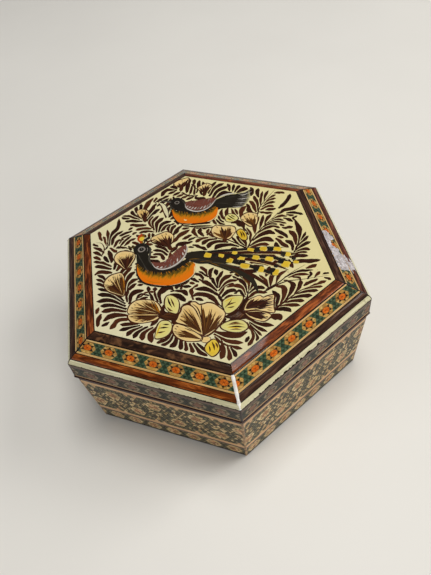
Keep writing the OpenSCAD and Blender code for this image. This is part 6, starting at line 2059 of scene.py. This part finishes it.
    (2.5, "leaf", (-6.2, 30.4), (-4.6, 34.0), (-0.8, 35.2)), (0.9, "leaf", (-10.0, 32.2), (-10.4, 37.0), (-9.4, 40.2)),
    (0.8, "leaf", (-2.2, 35.4), (-3.2, 37.8), (-4.6, 40.0)), (0.6, "leaf", (-1.0, 35.6), (-1.4, 38.0), (-1.8, 40.2)),
    (1.3, "leaf", (0.0, 35.2), (0.2, 37.8), (0.9, 40.4)), (2.3, "leaf", (0.8, 35.2), (2.2, 37.6), (4.8, 38.4)),
    (1.6, "leaf", (-14.8, 30.2), (-13.6, 28.8), (-10.0, 29.4)), (1.4, "leaf", (-21.0, 30.6), (-17.6, 29.4), (-13.6, 30.2)),
    (1.2, "leaf", (-12.4, 31.0), (-14.0, 33.6), (-16.8, 34.2)), (1.0, "leaf", (-12.0, 31.4), (-13.0, 35.6), (-15.0, 39.0)),
]
for sp_ in SPRAYS:
    leaf(list(sp_[2:]), sp_[0] * 1.05, sp_[1])
for q in range(0, 15, 3):   # the fringe that hangs under the flowers at the back left
    x = -24.6 + 0.72 * q
    leaf([(x + 0.8, 31.2 - 0.10 * q), (x - 0.3, 29.8 - 0.12 * q), (x - 1.5 - R.uniform(0, .5), 28.4 - 0.14 * q)], 0.82, "leaf")

# smaller leaves wherever there is still room, turned away from the nearest flower
heads = [(12, -33), (-3, -29), (21, -20), (-21, -25), (-29, -12), (-14, 0), (-28, 11), (-22, 32), (-12, 32), (13, 18), (5, 9), (30, 6), (13, 24),
         (14, 7), (31, -17), (10, -15), (20, -13), (-17, -28), (-37, -5), (-7, -24)]


def plain(x, y):
    """Ground that stays empty."""
    if x > 16.5 and y > 28 and not (x > 19 and y < 31):
        return True
    if x > 23.6 and y > 9.5:
        return True
    if x > 33.5 and y > 2.6:
        return True
    if x < -32 and -2 < y < 9.5:
        return True
    if math.hypot(x + 26, y - 25) < 3.4 or math.hypot(x + 25, y - 20) < 2.4:
        return True
    return (y < -36.5 and x < -19) or (x < -41 and y < 4)


for ln, w, gap in ((9.6, 1.3, 0.30), (7.6, 1.2, 0.28), (5.8, 1.05, 0.26), (4.3, 0.9, 0.24), (3.0, 0.75, 0.22)):
    for _ in range(4200):
        x, y = R.uniform(-46, 46), R.uniform(-40.4, 40.4)
        if plain(x, y) or not on_panel(x, y, 0.8):
            continue
        ix, iy = occ.at(x), occ.at(y)
        if occ.g[ix - 2:ix + 3, iy - 2:iy + 3].any() or body.g[ix - 1:ix + 2, iy - 1:iy + 2].any():
            continue
        hx, hy = min(heads, key=lambda h: (h[0] - x) ** 2 + (h[1] - y) ** 2)
        a0 = math.degrees(math.atan2(y - hy, x - hx))
        for da in (0, 22, -22, 44, -44):
            if reach(x, y, a0 + da + R.uniform(-8, 8), ln, w, R.choice((-34, -20, 20, 34)), gap, skip=0.0, least=0.7):
                break
print("dark share of the panel", float(occ.g[occ.at(-40):occ.at(40), occ.at(-35):occ.at(35)].mean()))

lay_leaves()
for p in (leaves, petals, hatch, birds, detail):
    p.finish()

# the ivory ground: yellower at the back and right, whiter towards the front left
mg = Mat("panel_ground", **PLAC)
g1 = mg.noise(mg.obj(), 26, 4, 0.6, 0.5)
g2 = mg.noise(mg.obj(900, 120, 1), 1.0, 4, 0.6)
tc = mg.node("ShaderNodeTexCoord")
sep = mg.node("ShaderNodeSeparateXYZ")
mg.link(tc.outputs["Object"], sep.inputs[0])
run = mg.math("ADD", mg.math("MULTIPLY", sep.outputs[0], 0.62), mg.math("MULTIPLY", sep.outputs[1], 0.9))
lean = mg.fac(run, -0.034, 0.030)
c = mg.mix(lean, srgb(216, 209, 172), srgb(220, 208, 152))
c = mg.mix(mg.fac(g1, 0.35, 0.7, 0.0, 0.5), c, mg.mix(1.0, c, (0.93, 0.94, 0.86, 1), "MULTIPLY"))
c = mg.mix(mg.fac(g2, 0.45, 0.8, 0.0, 0.22), c, mg.mix(1.0, c, (0.86, 0.84, 0.74, 1), "MULTIPLY"))
sp = mg.noise(mg.obj(), 700, 2, 0.5)
c = mg.mix(mg.fac(sp, 0.70, 0.76, 0.0, 0.6), c, srgb(120, 100, 66))
mg.colour(c)
mg.rough(mg.fac(g1, 0.3, 0.7, 0.3, 0.42))
mg.bump(g2, 0.00002, 0.35)
M["ground"] = mg.m
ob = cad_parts["painted_panel"]
ob.data.materials.clear()
ob.data.materials.append(mg.m)

# ------------------------------------------------------------------ camera, floor, light

def camera():
    az, el, roll, d = math.radians(26.714), math.radians(49.439), math.radians(-9.467), 3.8612 * 0.047
    back = Vector((math.sin(az) * math.cos(el), -math.cos(az) * math.cos(el), math.sin(el)))
    right = Vector((0, 0, 1)).cross(back).normalized()
    up = back.cross(right).normalized()
    c, s = math.cos(roll), math.sin(roll)
    x, y = right * c + up * s, up * c - right * s
    target = Vector((0.00912, -0.01336, 0.046))
    cam = bpy.data.cameras.new("camera")
    cam.sensor_fit = "HORIZONTAL"
    cam.sensor_width = 36
    cam.lens = 533.6 / 431 * 36
    cam.clip_start = 0.005
    ob = bpy.data.objects.new("camera", cam)
    ob.matrix_world = Matrix(((x.x, y.x, back.x, 0), (x.y, y.y, back.y, 0), (x.z, y.z, back.z, 0), (0, 0, 0, 1)))
    ob.location = target + back * d
    bpy.context.scene.collection.objects.link(ob)
    bpy.context.scene.camera = ob
    return ob


camera()

fl = bpy.data.meshes.new("floor")
fl.from_pydata([(-4, -4, 0), (4, -4, 0), (4, 4, 0), (-4, 4, 0)], [], [(0, 1, 2, 3)])
floor = bpy.data.objects.new("floor", fl)
floor.location = (0, 0, -0.00005)
bpy.context.scene.collection.objects.link(floor)
mf = Mat("floor_paint", Roughness=0.5, Specular_IOR_Level=0.3)
nf = mf.noise(mf.obj(), 9, 3, 0.5)
mf.colour(mf.ramp(nf, [(0.3, srgb(226, 224, 218)), (0.7, srgb(230, 228, 222))]))
fl.materials.append(mf.m)


def area_light(name, loc, target, size, energy, colour=(1, 1, 1), size_y=None):
    d = bpy.data.lights.new(name, "AREA")
    d.shape = "RECTANGLE"
    d.size, d.size_y = size, size_y or size
    d.energy = energy
    d.color = colour
    o = bpy.data.objects.new(name, d)
    o.location = loc
    o.rotation_euler = (Vector(target) - Vector(loc)).to_track_quat("-Z", "Y").to_euler()
    bpy.context.scene.collection.objects.link(o)
    return o


area_light("key", (0.80, 0.60, 0.86), (0, 0, 0.02), 0.60, 6.6, (1.0, 0.98, 0.945))
area_light("ceiling", (0.08, 0.12, 1.0), (0, 0, 0.04), 0.45, 5.2, (1.0, 0.975, 0.94))
area_light("side", (1.35, -0.75, 0.45), (0, 0, 0.02), 0.7, 8.8, (1.0, 0.97, 0.93))
area_light("fill", (-1.3, -1.2, 0.9), (0, 0, 0.02), 0.9, 4.8, (0.98, 0.985, 1.0))
world = bpy.data.worlds.new("studio")
bpy.context.scene.world = world
world.use_nodes = True
world.node_tree.nodes["Background"].inputs["Color"].default_value = (0.96, 0.97, 1.0, 1)
world.node_tree.nodes["Background"].inputs["Strength"].default_value = 0.14
bpy.context.scene.view_settings.view_transform = "Standard"
bpy.context.scene.view_settings.look = "None"
